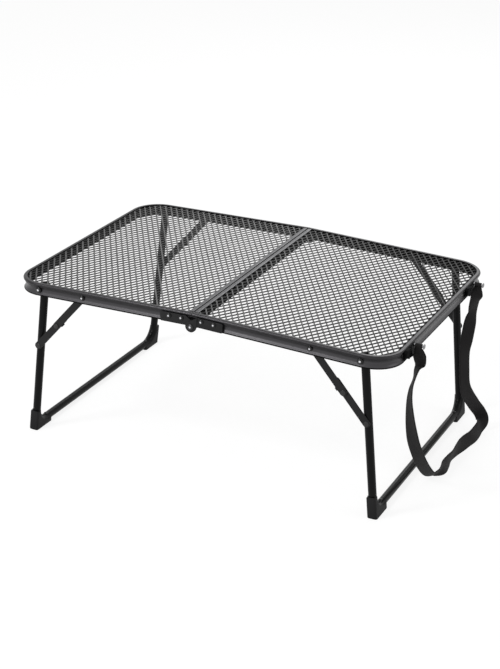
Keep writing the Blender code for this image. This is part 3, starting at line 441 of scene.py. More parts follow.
def metal_finish(name, color, metallic, roughness, grain, relief, worn, specular, tip):
    """Coated or painted metal with fine grain and a cloudy sheen, paler on its worn edges, with a painted
    highlight on its tips.
    """
    finish = Finish(name, color, metallic, specular)
    fine = finish.noise(grain, 1.0)
    clouds = finish.noise(26.0, 4.0)
    rubbed = finish.rubbed(180.0)
    tone = finish.mix(finish.spread(fine), 0.9, 1.1)
    tone = finish.mix(finish.times(rubbed, 0.6), tone, worn)
    # Painted highlight: the marked top middle of a turned head takes the share of the colour given for it
    tone = finish.mix(finish.marked("tip"), tone, tip)
    sheen = finish.spread(clouds, roughness - 0.05, roughness + 0.06)
    sheen = finish.minus(sheen, finish.times(rubbed, 0.08))
    return finish.end(tone, sheen, fine, relief, 0.35)


def rolled_finish(name, color):
    """Coated metal strip that was rolled to shape, with faint lines along its length from the rollers.

    The lower part of its outer face is painted paler, a painted light. Its bead's inner shoulder, the foot of
    its face, its lip and inside, and the faces down in the seam are painted nearly black and rougher, a
    painted shade.
    """
    finish = Finish(name, color, 0.82)
    run = finish.run()
    streaks = finish.noise(2100.0, 1.0, finish.vector(finish.times(run["X"], 12.0), run["Y"]))
    fine = finish.noise(2600.0, 1.0)
    clouds = finish.noise(20.0, 3.0)
    rubbed = finish.rubbed(160.0)
    # Painted shade: the marked faces under the bead, at the foot, inside the rim and in the seam go nearly
    # black and rough
    hidden = finish.marked("hidden")
    tone = finish.mix(finish.spread(streaks, low=0.35, high=0.65), 0.92, 1.1)
    tone = finish.mix(finish.times(rubbed, 0.5), tone, 1.7)
    # Painted light: the marked lower part of the outer face is painted paler
    tone = finish.mix(finish.marked("rolled"), tone, 1.7)
    tone = finish.mix(hidden, tone, 0.06)
    sheen = finish.plus(finish.spread(clouds, 0.27, 0.35), finish.times(streaks, 0.06))
    sheen = finish.plus(sheen, finish.times(hidden, 0.65))
    return finish.end(tone, sheen, finish.plus(finish.times(streaks, 0.7), fine), 0.00002, 0.3)


def plastic_finish(name, color, specular):
    """Moulded plastic with a fine spark-eroded grain and slightly polished edges."""
    finish = Finish(name, color, 0.0, specular)
    grain = finish.first("ShaderNodeTexVoronoi", {"Vector": finish.place, "Scale": 1500.0})
    clouds = finish.noise(60.0, 3.0)
    edge = finish.marked("edge")
    tone = finish.mix(finish.spread(clouds), 0.85, 1.2)
    tone = finish.mix(finish.times(edge, 0.5), tone, 2.2)
    sheen = finish.minus(finish.spread(clouds, 0.60, 0.70), finish.times(edge, 0.14))
    return finish.end(tone, sheen, grain, 0.00006, 0.4)


def webbing_finish(name, color, rows):
    """Flat woven webbing: herringbone ribs across it and a tight cord along both edges."""
    finish = Finish(name, color, 0.0, 0.15)
    run = finish.run()
    along, across = run["X"], run["Y"]
    zigzag = finish.math("PINGPONG", finish.times(across, 4.0), 1.0)
    slanted = finish.plus(along, finish.times(zigzag, 0.07))
    ribs = finish.math("SINE", finish.times(slanted, 2.0 * math.pi * rows))
    yarns = finish.math("SINE", finish.times(across, 2.0 * math.pi * 26.0))
    weave = finish.times(finish.plus(ribs, finish.times(yarns, 0.5)), 0.35)
    middle = finish.math("ABSOLUTE", finish.minus(across, 0.5))
    selvage = finish.spread(middle, low=0.43, high=0.47)
    height = finish.plus(finish.plus(weave, 0.5), finish.times(selvage, 0.3))
    fuzz = finish.noise(1300.0, 3.0)
    tone = finish.mix(finish.spread(height, low=0.1, high=1.0), 0.6, 1.35)
    tone = finish.mix(finish.spread(fuzz, 0.0, 0.35, 0.45, 0.8), tone, 2.0)
    finish.shader["Sheen Weight"].default_value = 0.06
    finish.shader["Sheen Roughness"].default_value = 0.5
    sheen = finish.spread(fuzz, 0.66, 0.82)
    return finish.end(tone, sheen, finish.plus(height, finish.times(fuzz, 0.3)), 0.00016, 0.55)


def thread_finish(name, color):
    """Twisted sewing thread."""
    finish = Finish(name, color, 0.0, 0.35)
    wave = {"Vector": finish.place, "Scale": 700.0, "Distortion": 1.5}
    twist = finish.add("ShaderNodeTexWave", wave).outputs["Fac"]
    sheen = finish.spread(twist, 0.6, 0.48, 0.0, 1.0)
    return finish.end(finish.mix(twist, 0.6, 1.2), sheen, twist, 0.00005, 0.5)


def finish_of(slot):
    """The material of one of the record's slots, made when it is first asked for."""
    name = f"{slot}_finish"
    made = bpy.data.materials.get(name)
    if made:
        return made
    scene = bpy.context.scene
    colors = scene.camp_table_colors
    if slot in METALS:
        color, share, *looks = METALS[slot]
        return metal_finish(name, shade(getattr(colors, color), share), *looks)
    if slot in ("rim_metal", "bar_metal"):
        return rolled_finish(name, colors.rim if slot == "rim_metal" else colors.bar)
    if slot == "webbing":
        return webbing_finish(name, colors.webbing, scene.camp_table_sizes.webbing_rows)
    if slot == "thread":
        return thread_finish(name, shade(colors.webbing, 1.8))
    if slot == "anchor_plastic":
        return plastic_finish(name, shade(colors.plastic, 0.6), 0.05)
    return plastic_finish(name, colors.plastic, 0.2)


def half_turn(side):
    """Tilts what was drawn lying flat about the hinge axis, as the half rises to the seam."""
    up = Matrix.Translation((0, 0, HINGE_Z + SEAM_RISE))
    return up @ Matrix.Rotation(side * RIDGE, 4, "Y") @ Matrix.Translation((0, 0, -HINGE_Z))


def new_object(name, mesh):
    obj = bpy.data.objects.new(name, mesh)
    bpy.context.scene.collection.objects.link(obj)
    return obj


def rework(mesh, change):
    """Lets a function change a mesh as a bmesh."""
    work = bmesh.new()
    work.from_mesh(mesh)
    change(work)
    work.to_mesh(mesh)
    work.free()


def face_out(work):
    bmesh.ops.recalc_face_normals(work, faces=work.faces)


def object_from(name, draw):
    """An object from a function that draws closed shells into a bmesh."""
    mesh = bpy.data.meshes.new(name)
    rework(mesh, draw)
    rework(mesh, face_out)
    return new_object(name, mesh)


def remove(*objects):
    for obj in objects:
        bpy.data.objects.remove(obj, do_unlink=True)


def bake(obj, weld=WELD):
    """Turns an object with its modifiers into a plain mesh at the origin."""

    def close(work):
        bmesh.ops.remove_doubles(work, verts=work.verts, dist=weld)
        face_out(work)

    bpy.context.view_layer.update()
    graph = bpy.context.evaluated_depsgraph_get()
    mesh = bpy.data.meshes.new_from_object(obj.evaluated_get(graph))
    mesh.transform(obj.matrix_world)
    name = obj.name
    remove(obj)
    if weld:
        rework(mesh, close)
    made = new_object(name, mesh)
    mesh.name = name
    return made


def mark_points(mesh, name, values):
    """Stores a share for each point, which a finish reads."""
    layer = mesh.attributes.get(name) or mesh.attributes.new(name, "FLOAT", "POINT")
    layer.data.foreach_set("value", values)


def mark_edges(mesh):
    """Stores how sharply the surface turns outwards at each point, which the finishes read as wear."""
    work = bmesh.new()
    work.from_mesh(mesh)
    values = []
    for vert in work.verts:
        turns = [edge.calc_face_angle(0.0) for edge in vert.link_edges if edge.is_manifold and edge.is_convex]
        values.append(min(1.0, max(0.0, (max(turns, default=0.0) - 0.25) / 0.8)))
    work.free()
    mark_points(mesh, "edge", values)


def settle(obj, slot, body, *nodes, angle=32, finish=None):
    """Shades a finished piece, gives it its finish and hands it to the body that it rides on."""
    mesh = obj.data
    mark_edges(mesh)
    mesh.shade_smooth()
    mesh.set_sharp_from_angle(angle=math.radians(angle))
    mesh.materials.clear()
    mesh.materials.append(finish_of(finish or slot))
    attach(obj, body)
    if nodes:
        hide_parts(*nodes)
    return obj


def bevel(obj, width, segments, angle):
    modifier = obj.modifiers.new("edges", "BEVEL")
    modifier.width = width
    modifier.segments = segments
    modifier.limit_method = "ANGLE"
    modifier.angle_limit = math.radians(angle)


def cut(obj, cutter, operation="DIFFERENCE"):
    modifier = obj.modifiers.new("cut", "BOOLEAN")
    modifier.operation = operation
    modifier.solver = "EXACT"
    modifier.object = cutter


def arc(centre, radius, start, end, steps):
    """Points on an arc, its angles in degrees."""
    angles = [math.radians(start + (end - start) * i / steps) for i in range(steps + 1)]
    return [(centre[0] + radius * math.cos(a), centre[1] + radius * math.sin(a)) for a in angles]


def circle(centre, radius):
    return arc(centre, radius, 0, 360, HOLE_STEPS)[:-1]


def rounded_plate(name, outlines, thickness, edge=PLATE_EDGE, steps=EDGE_STEPS):
    """A flat plate lying in XY, from an outline and its holes, with all its edges rounded."""
    data = bpy.data.curves.new(name, "CURVE")
    data.dimensions = "2D"
    data.fill_mode = "BOTH"
    data.extrude = thickness / 2 - edge
    data.bevel_depth = edge
    data.bevel_resolution = steps
    data.offset = -edge
    for outline in outlines:
        spline = data.splines.new("POLY")
        spline.points.add(len(outline) - 1)
        for point, place in zip(spline.points, outline):
            point.co = (*place, 0.0, 1.0)
        spline.use_cyclic_u = True
    return bake(new_object(name, data))


def upright_plate(name, outlines, thickness, y):
    """A rounded plate stood up with its middle at y, from outlines in (x, z)."""
    plate = rounded_plate(name, outlines, thickness)
    plate.data.transform(Matrix.Translation((0, y, 0)) @ Matrix.Rotation(math.pi / 2, 4, "X"))
    return plate


def sweep(work, rings, closed_path=False, uv=None):
    """Joins rings of points into a skin. uv holds a value for each ring and each point of a ring."""
    layer = work.loops.layers.uv.get("run") or work.loops.layers.uv.new("run") if uv else None
    verts = [[work.verts.new(point) for point in ring] for ring in rings]
    count = len(verts[0])
    last = len(verts) if closed_path else len(verts) - 1
    for i in range(last):
        first, second = verts[i], verts[(i + 1) % len(verts)]
        for k in range(count):
            n = (k + 1) % count
            face = work.faces.new((first[k], first[n], second[n], second[k]))
            if uv:
                along, round_it = uv
                corners = ((i, k), (i, k + 1), (i + 1, k + 1), (i + 1, k))
                for loop, (a, b) in zip(face.loops, corners):
                    loop[layer].uv = (along[a], round_it[b])
    if not closed_path:
        work.faces.new(verts[0])
        work.faces.new(verts[-1])
    return verts


def running_length(points):
    lengths = [0.0]
    for start, end in zip(points, points[1:]):
        lengths.append(lengths[-1] + (Vector(end) - Vector(start)).length)
    return lengths


def heading_at(points, i):
    """The direction of a run of points at one of them."""
    ahead = Vector(points[min(i + 1, len(points) - 1)][:3])
    behind = Vector(points[max(i - 1, 0)][:3])
    return (ahead - behind).normalized()


def smooth_route(points, pieces):
    """Points on a smooth curve through the given ones, with all that they carry."""
    result = []
    for i in range(len(points) - 1):
        before, after = points[max(i - 1, 0)], points[min(i + 2, len(points) - 1)]
        four = (before, points[i], points[i + 1], after)
        for step in range(pieces):
            t = step / pieces
            weights = (
                -0.5 * t + t * t - 0.5 * t**3,
                1 - 2.5 * t * t + 1.5 * t**3,
                0.5 * t + 2 * t * t - 1.5 * t**3,
                -0.5 * t * t + 0.5 * t**3,
            )
            result.append(tuple(sum(w * p[k] for w, p in zip(weights, four)) for k in range(len(points[0]))))
    result.append(tuple(points[-1]))
    return result


def new_tree(name, inputs):
    """A Geometry Nodes tree with one geometry input and the named inputs, which are given by their kind."""
    tree = bpy.data.node_groups.new(name, "GeometryNodeTree")
    face = tree.interface
    face.new_socket("Geometry", in_out="INPUT", socket_type="NodeSocketGeometry")
    for kind, labels in inputs.items():
        for label in labels:
            face.new_socket(label, in_out="INPUT", socket_type=f"NodeSocket{kind}")
    face.new_socket("Geometry", in_out="OUTPUT", socket_type="NodeSocketGeometry")
    graph = Graph(tree)
    return tree, graph, graph.add("NodeGroupInput").outputs


def end_tree(graph, geometry, material):
    """Every tree ends in real geometry with its material set."""
    real = graph.first("GeometryNodeRealizeInstances", {"Geometry": geometry})
    done = graph.first("GeometryNodeSetMaterial", {"Geometry": real, "Material": material})
    graph.add("NodeGroupOutput", {"Geometry": done})


def set_on_points(graph, given, piece, axis):
    """Ends a tree with the piece on each point, its axis along the direction that the point carries."""
    carried = graph.first("GeometryNodeInputNamedAttribute", {"Name": "direction"}, data_type="FLOAT_VECTOR")
    turn = graph.first("FunctionNodeAlignRotationToVector", {"Vector": carried}, axis=axis)
    placed = {"Points": given["Geometry"], "Instance": piece, "Rotation": turn}
    end_tree(graph, graph.first("GeometryNodeInstanceOnPoints", placed), given["Material"])


def run_tree(obj, tree, values):
    """Runs a tree on an object and keeps the result as a plain mesh."""
    modifier = obj.modifiers.new(tree.name, "NODES")
    modifier.node_group = tree
    for item in tree.interface.items_tree:
        if item.in_out == "INPUT" and item.name in values:
            modifier[item.identifier] = values[item.name]
    return bake(obj, 0.0)


def run_on_points(name, tree, values, places):
    """Runs a tree on loose points, given as (place, direction)."""
    mesh = bpy.data.meshes.new(name)
    mesh.from_pydata([place for place, _ in places], [], [])
    layer = mesh.attributes.new("direction", "FLOAT_VECTOR", "POINT")
    layer.data.foreach_set("vector", [part for _, direction in places for part in direction])
    return run_tree(new_object(name, mesh), tree, values)


# Stage


def studio_world():
    """An even white surround: full white to the eye and in reflections, plain light on the object."""
    world = bpy.data.worlds.new("studio")
    world.use_nodes = True
    bpy.context.scene.world = world
    graph = Graph(world.node_tree)
    background = world.node_tree.nodes["Background"].inputs
    background["Color"].default_value = (1, 1, 1, 1)
    graph.put(background["Strength"], graph.greater(graph.seen(), 0.5))


def soft_light(name, place, size, power):
    data = bpy.data.lights.new(name, "AREA")
    data.shape = "DISK"
    data.size = size
    data.energy = power
    obj = new_object(name, data)
    obj.location = place
    obj.rotation_euler = (Vector(LIGHT_AIM) - Vector(place)).to_track_quat("-Z", "Y").to_euler()


def square(half, z):
    return [Vector((x, y, z)) for x, y in ((-half, -half), (half, -half), (half, half), (-half, half))]


def pale_floor():
    """A plain floor that looks white where it is lit, and keeps a faint shadow."""

    def draw(work):
        work.faces.new([work.verts.new(point) for point in square(FLOOR_HALF, 0.0)])

    floor = object_from("floor", draw)
    finish = Finish("floor_white", (0.8, 0.8, 0.8))
    finish.shader["Base Color"].default_value = (*finish.color, 1.0)
    finish.shader["Roughness"].default_value = 0.9
    glow = finish.first("ShaderNodeEmission", {"Color": (1, 1, 1, 1), "Strength": 1.16})
    mixed = finish.add("ShaderNodeMixShader", {"Fac": finish.times(finish.seen(), 0.72)})
    finish.put(mixed.inputs[1], finish.tree.nodes["Principled BSDF"].outputs[0])
    finish.put(mixed.inputs[2], glow)
    finish.put(finish.tree.nodes["Material Output"].inputs["Surface"], mixed.outputs[0])
    floor.data.materials.append(finish.material)


class CampTableStage(bpy.types.Operator):
    """Sets up the camera, the pale floor and the studio light"""

    bl_idname = "camp_table.stage"
    bl_label = "Stage, Light and Camera"

    def execute(self, context):
        context.scene.view_settings.view_transform = "Standard"
        data = bpy.data.cameras.new("camera")
        data.lens = CAMERA_LENS
        camera = new_object("camera", data)
        camera.location = CAMERA_PLACE
        camera.rotation_euler = Euler([math.radians(turn) for turn in CAMERA_TURN])
        context.scene.camera = camera
        studio_world()
        pale_floor()
        for light in LIGHTS:
            soft_light(*light)
        return {"FINISHED"}


# Strap


def strap_rings(pieces):
    """Centre, width direction, face direction and half width of the strap at each step along it."""
    stations = smooth_route(STRAP_ROUTE, pieces)
    spans = len(STRAP_ROUTE) - 1
    rings = []
    for i, (x, y, z, *turns) in enumerate(stations):
        tangent = heading_at(stations, i)
        heading, tilt = (math.radians(turn) for turn in turns)
        level = math.cos(tilt)
        width = Vector((math.cos(heading) * level, math.sin(heading) * level, math.sin(tilt)))
        width = (width - tangent * width.dot(tangent)).normalized()
        from_end = min(i / pieces, spans - i / pieces)
        half = STRAP_WIDTH / 2 * min(1.0, STRAP_GATHER + (1 - STRAP_GATHER) * from_end)
        rings.append((Vector((x, y, z)), width, tangent.cross(width), half))
    return rings


def band_section(half, thickness):
    """A flat band's section as (across, out) points with round edges, and each one's share of the width."""
    flat = half - thickness * 0.45
    steps = 6
    top = [(-flat + 2 * flat * i / steps, thickness / 2) for i in range(steps + 1)]
    edge, drop = half - thickness * 0.12, thickness * 0.28
    right = [(edge, drop), (half, 0.0), (edge, -drop)]
    section = top + right + [(-x, -y) for x, y in top + right]
    return section, [(across + half) / (2 * half) for across, _ in section]


def draw_band(work, rings, thickness):
    """A webbing band through rings of (centre, width, face, half width)."""
    along = [length / STRAP_WIDTH for length in running_length([ring[0] for ring in rings])]
    skins, shares = [], None
    for centre, width, face, half in rings:
        section, shares = band_section(half, thickness)
        skins.append([centre + width * a + face * b for a, b in section])
    sweep(work, skins, uv=(along, [*shares, shares[0]]))


def peg_centre(y_side):
    """A point on a strap peg's axis, under the middle of the strap, and the peg's direction."""
    place = half_turn(1) @ Vector((STRAP_ROUTE[0][0], y_side * STRAP_Y, HEIGHT - PEG_DROP))
    along = (half_turn(1).to_3x3() @ Vector((1, 0, 0))).normalized()
    return place, along


def loop_rings(y_side, rings, thickness):
    """The strap's end, turned over its peg and sewn down on the strap's outer face, as rings of a band."""
    ends = rings if y_side < 0 else rings[::-1]
    centre, along = peg_centre(y_side)
    start, half = ends[0][0], ends[0][3]
    radius = PEG_RADIUS + GAP + thickness / 2
    path = []
    for degrees in range(-80, 181, 20):
        a = math.radians(degrees)
        around = Vector((0, -y_side * math.cos(a), math.sin(a)))
        path.append((*(centre + around * radius), half))
    turned = (len(path) - 1) * 2
    lay = STRAP_THICKNESS / 2 + thickness / 2 + HAIR
    for ring in ends[2:]:
        reach = (ring[0] - start).length
        if reach > LOOP_LENGTH:
            break
        if reach > SEWN_FROM:
            face = ring[2] if ring[2].y * y_side > 0 else -ring[2]
            path.append((*(ring[0] + face * lay), ring[3] - SEWN_INSET))
    smooth = smooth_route(path, 2)
    made = []
    for i, (x, y, z, reach) in enumerate(smooth):
        tangent = heading_at(smooth, i)
        here = Vector((x, y, z))
        near = min(ends[:NEAR_RINGS], key=lambda ring: (ring[0] - here).length)
        side = near[1] if near[1].x > 0 else -near[1]
        share = min(1.0, max(0.0, (i - turned) / TURN_BACK_STEPS))
        side = (along * (1 - share) + side * share).normalized()
        side = (side - tangent * side.dot(tangent)).normalized()
        made.append((here, side, tangent.cross(side), reach))
    return made


def stitch_tree():
    """Lays one short thread on each point of a mesh, across the strap."""
    inputs = {"Float": ("Length", "Thickness"), "Material": ("Material",)}
    tree, graph, given = new_tree("stitches_on_points", inputs)
    reach = graph.times(given["Length"], 0.5)
    ends = {"Start": graph.vector(graph.times(reach, -1.0)), "End": graph.vector(reach)}
    thread = graph.first("GeometryNodeCurvePrimitiveLine", ends)
    thread = graph.first("GeometryNodeResampleCurve", {"Curve": thread, "Count": 5})
    factor = graph.add("GeometryNodeSplineParameter").outputs["Factor"]
    hump = graph.math("SINE", graph.times(factor, math.pi))
    size = graph.plus(0.45, graph.times(hump, 0.55))
    thread = graph.first("GeometryNodeSetCurveRadius", {"Curve": thread, "Radius": size})
    around = {"Resolution": 6, "Radius": graph.times(given["Thickness"], 0.5)}
    profile = graph.first("GeometryNodeCurvePrimitiveCircle", around)
    solid = {"Curve": thread, "Profile Curve": profile, "Fill Caps": True}
    set_on_points(graph, given, graph.first("GeometryNodeCurveToMesh", solid), "X")
    return tree


def sew(name, band, thickness):
    """Two rows of stitches across the end of a turned-over band, and one down each side between them."""
    sizes = bpy.context.scene.camp_table_sizes
    tree = bpy.data.node_groups.get("stitches_on_points") or stitch_tree()
    rows = [len(band) - back for back in STITCH_ROWS]
    first, last = band[0][0], band[-1][0]
    inside = (first + last) / 2 + (first - last) * 0.5
    places = []
    for i in range(rows[0], rows[1] + 1):
        centre, side, face, half = band[i]
        outward = face if (centre - inside).dot(face) > 0 else -face
        inner = half - STITCH_MARGIN
        shares = [-1.0, 1.0]
        direction = (centre - band[i - 1][0]).normalized()
        if i in rows:
            count = max(3, int(2 * inner / (sizes.stitch_length * STITCH_SPACING)))
            shares = [2 * k / (count - 1) - 1 for k in range(count)]
            direction = side
        for share in shares:
            places.append((centre + side * inner * share + outward * thickness * STITCH_LIFT, direction))
    values = {"Length": sizes.stitch_length, "Thickness": sizes.stitch_thickness}
    made = run_on_points(name, tree, {**values, "Material": finish_of("thread")}, places)
    return settle(made, "webbing", "right_half", angle=SOFT_ANGLE, finish="thread")


class CampTableStrap(bpy.types.Operator):
    """Weaves the webbing strap and sews its ends round the pegs"""

    bl_idname = "camp_table.strap"
    bl_label = "Strap"

    def execute(self, context):
        rings = strap_rings(STRAP_STEPS)
        path = [tuple(ring[0]) for ring in rings]
        strap = object_from("webbing_strap", lambda work: draw_band(work, rings, STRAP_THICKNESS))
        settle(strap, "webbing", "right_half", "strap", angle=SOFT_ANGLE)
        loops = []
        for end, y_side in ENDS.items():
            band = loop_rings(y_side, rings, LOOP_THICKNESS)
            loop = object_from(f"{end}_strap_loop", lambda work: draw_band(work, band, LOOP_THICKNESS))
            settle(loop, "webbing", "right_half", angle=SOFT_ANGLE)
            loops += [loop, sew(f"{end}_strap_stitches", band, LOOP_THICKNESS)]
        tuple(path[0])
        round(running_length(path)[-1], 3)
        return {"FINISHED"}


# Rims, bars and tops


def cove_inset(drop):
    """How far in the rim's outer face lies at a drop, between its bead and its lip."""
    share = (drop - BEAD_HEIGHT) / (RIM_HEIGHT - LIP_HEIGHT - BEAD_HEIGHT)
    return COVE_INSET * math.sin(math.pi * min(max(share, 0.0), 1.0)) ** 0.5


def face_seat(head_radius):
    """The Y of the plane on which a rivet head seats, over the hollow in the rim's face."""
    return DEPTH / 2 - min(cove_inset(PIVOT_DROP - head_radius), cove_inset(PIVOT_DROP + head_radius)) + GAP


def seam_x(z):
    """How far from the middle a half ends at a height, so that its end stands upright once it is tilted."""
    return (GAP - (z - HINGE_Z) * math.sin(RIDGE)) / math.cos(RIDGE)


def rim_section():
    """The rolled strip's section as (inset, drop) points, from the bead's inner edge round the outside."""
    radius = BEAD_HEIGHT / 2
    hollow = RIM_HEIGHT - LIP_HEIGHT - BEAD_HEIGHT
    shoulder = arc((0, 0), BEAD_SHOULDER, 0, 90, SHOULDER_STEPS)
    section = [(BEAD_WIDTH - BEAD_SHOULDER + x, BEAD_SHOULDER - y) for x, y in shoulder]
    section += [(x, -y) for x, y in arc((radius, -radius), radius, 90, 238, 14)]
    section.append(BEAD_FOOT)
    for i in range(COVE_STEPS + 1):
        drop = BEAD_HEIGHT + hollow * (COVE_EDGE + (1 - 2 * COVE_EDGE) * i / COVE_STEPS)
        section.append((cove_inset(drop), drop))
    section += [(x, -y) for x, y in arc((LIP_RADIUS + GAP, LIP_RADIUS - RIM_HEIGHT), LIP_RADIUS, 90, 270, 8)]
    section += [(x, -y) for x, y in arc((COVE_INSET, RIM_WALL - RIM_HEIGHT), RIM_WALL, -90, 0, 5)]
    ledge_end = BEAD_WIDTH + LEDGE_WIDTH
    section += [(RIM_INNER, SEAT_DROP + LEDGE_THICKNESS), (ledge_end, SEAT_DROP + LEDGE_THICKNESS)]
    section += [(ledge_end, SEAT_DROP), (BEAD_WIDTH, SEAT_DROP)]
    return section


def half_outline(inset, seam):
    """The open U that the right half's rim follows, at an inset, from the front seam round the end."""
    radius = CORNER_RADIUS - inset
    corner_x = LENGTH / 2 - CORNER_RADIUS
    corner_y = DEPTH / 2 - CORNER_RADIUS
    front = arc((corner_x, -corner_y), radius, -90, 0, CORNER_STEPS)
    back = arc((corner_x, corner_y), radius, 0, 90, CORNER_STEPS)
    return [(seam, -DEPTH / 2 + inset)] + front + back + [(seam, DEPTH / 2 - inset)]


class CampTableRims(bpy.types.Operator):
    """Bends the rolled rim of each half round its end"""

    bl_idname = "camp_table.rims"
    bl_label = "Rims"

    def execute(self, context):
        section = rim_section()
        drops = [drop for _, drop in section]
        along = running_length([(x, y, 0) for x, y in half_outline(0.0, 0.0)])
        around = running_length([(*point, 0) for point in [*section, section[0]]])
        # Marks painted light on the lower outer face, and painted shade on the bead's inner shoulder, the
        # foot and inside
        pale = next(k for k, drop in enumerate(drops) if drop > BEAD_HEIGHT + PAINTED_LIGHT_BELOW_BEAD)
        dark = next(k for k, drop in enumerate(drops) if drop > RIM_HEIGHT - PAINTED_SHADE_ABOVE_FEET)
        numbers = range(len(section))
        hidden = [float(k < SHOULDER_STEPS or k >= dark) for k in numbers]
        rolled = [float(pale <= k < dark) for k in numbers]
        columns = [half_outline(inset, seam_x(HEIGHT - drop)) for inset, drop in section]
        for label, side in SIDES.items():
            turn = half_turn(side)
            rings = [
                [turn @ Vector((side * column[i][0], column[i][1], HEIGHT - drop))
                 for column, drop in zip(columns, drops)]
                for i in range(len(along))
            ]
            rim = object_from(f"{label}_rolled_rim", lambda work: sweep(work, rings, uv=(along, around)))
            mark_points(rim.data, "hidden", hidden * len(along))
            mark_points(rim.data, "rolled", rolled * len(along))
            settle(rim, "rim_metal", f"{label}_half", f"{label}_rim")
        return {"FINISHED"}


class CampTableBars(bpy.types.Operator):
    """Closes each half along the seam with its bar"""

    bl_idname = "camp_table.center_bars"
    bl_label = "Center Bars"

    def execute(self, context):
        seat = HEIGHT - SEAT_DROP
        low = HEIGHT - BAR_HEIGHT
        ledge = seat - LEDGE_THICKNESS
        half_length = DEPTH / 2 - BEAD_WIDTH - GAP
        coped = DEPTH / 2 - BEAD_WIDTH - LEDGE_WIDTH - GAP
        inner = BAR_WIDTH - RIM_WALL
        outer = BAR_WIDTH + LEDGE_WIDTH
        level = HEIGHT - BAR_SHOULDER
        near, far = (seam_x(level) + BAR_SHOULDER, level), (BAR_WIDTH - BAR_SHOULDER, level)
        head = [(seam_x(seat), seat), *arc(near, BAR_SHOULDER, 180, 90, SHOULDER_STEPS)]
        head += [*arc(far, BAR_SHOULDER, 90, 0, SHOULDER_STEPS), (BAR_WIDTH, seat)]
        foot = [(seam_x(low), low), (seam_x(seat), seat), (BAR_WIDTH, seat), (outer, seat)]
        foot += [(outer, ledge), (inner, ledge), (inner, low)]
        for label, side in SIDES.items():

            def strip(name, section, reach):
                turn = half_turn(side)
                ends = [[turn @ Vector((side * x, y, z)) for x, z in section] for y in (-reach, reach)]
                uv = ((0.0, 2 * reach), (*range(len(section) + 1),))
                return object_from(name, lambda work: sweep(work, ends, uv=uv))

            top = strip(f"{label}_seam_bar", head, half_length)
            web = strip(f"{label}_seam_web", foot, coped)
            cut(top, web, "UNION")
            bar = bake(top)
            remove(web)
            # Painted shade: every point below the bar's top, down in the seam, is marked to be painted nearly
            # black
            flat = half_turn(side).inverted()
            below = [HEIGHT - (flat @ vert.co).z for vert in bar.data.vertices]
            mark_points(bar.data, "hidden", [float(drop > HAIR) for drop in below])
            run_uv(bar)
            settle(bar, "bar_metal", f"{label}_half", f"{label}_center_bar")
        return {"FINISHED"}


def run_uv(obj):
    """Lays the rolled finish along Y: the UV map holds the length along and the distance round, in metres."""
    mesh = obj.data
    layer = mesh.uv_layers.get("run") or mesh.uv_layers.new(name="run")
    for loop in mesh.loops:
        x, y, z = mesh.vertices[loop.vertex_index].co
        layer.data[loop.index].uv = (y, x + z)


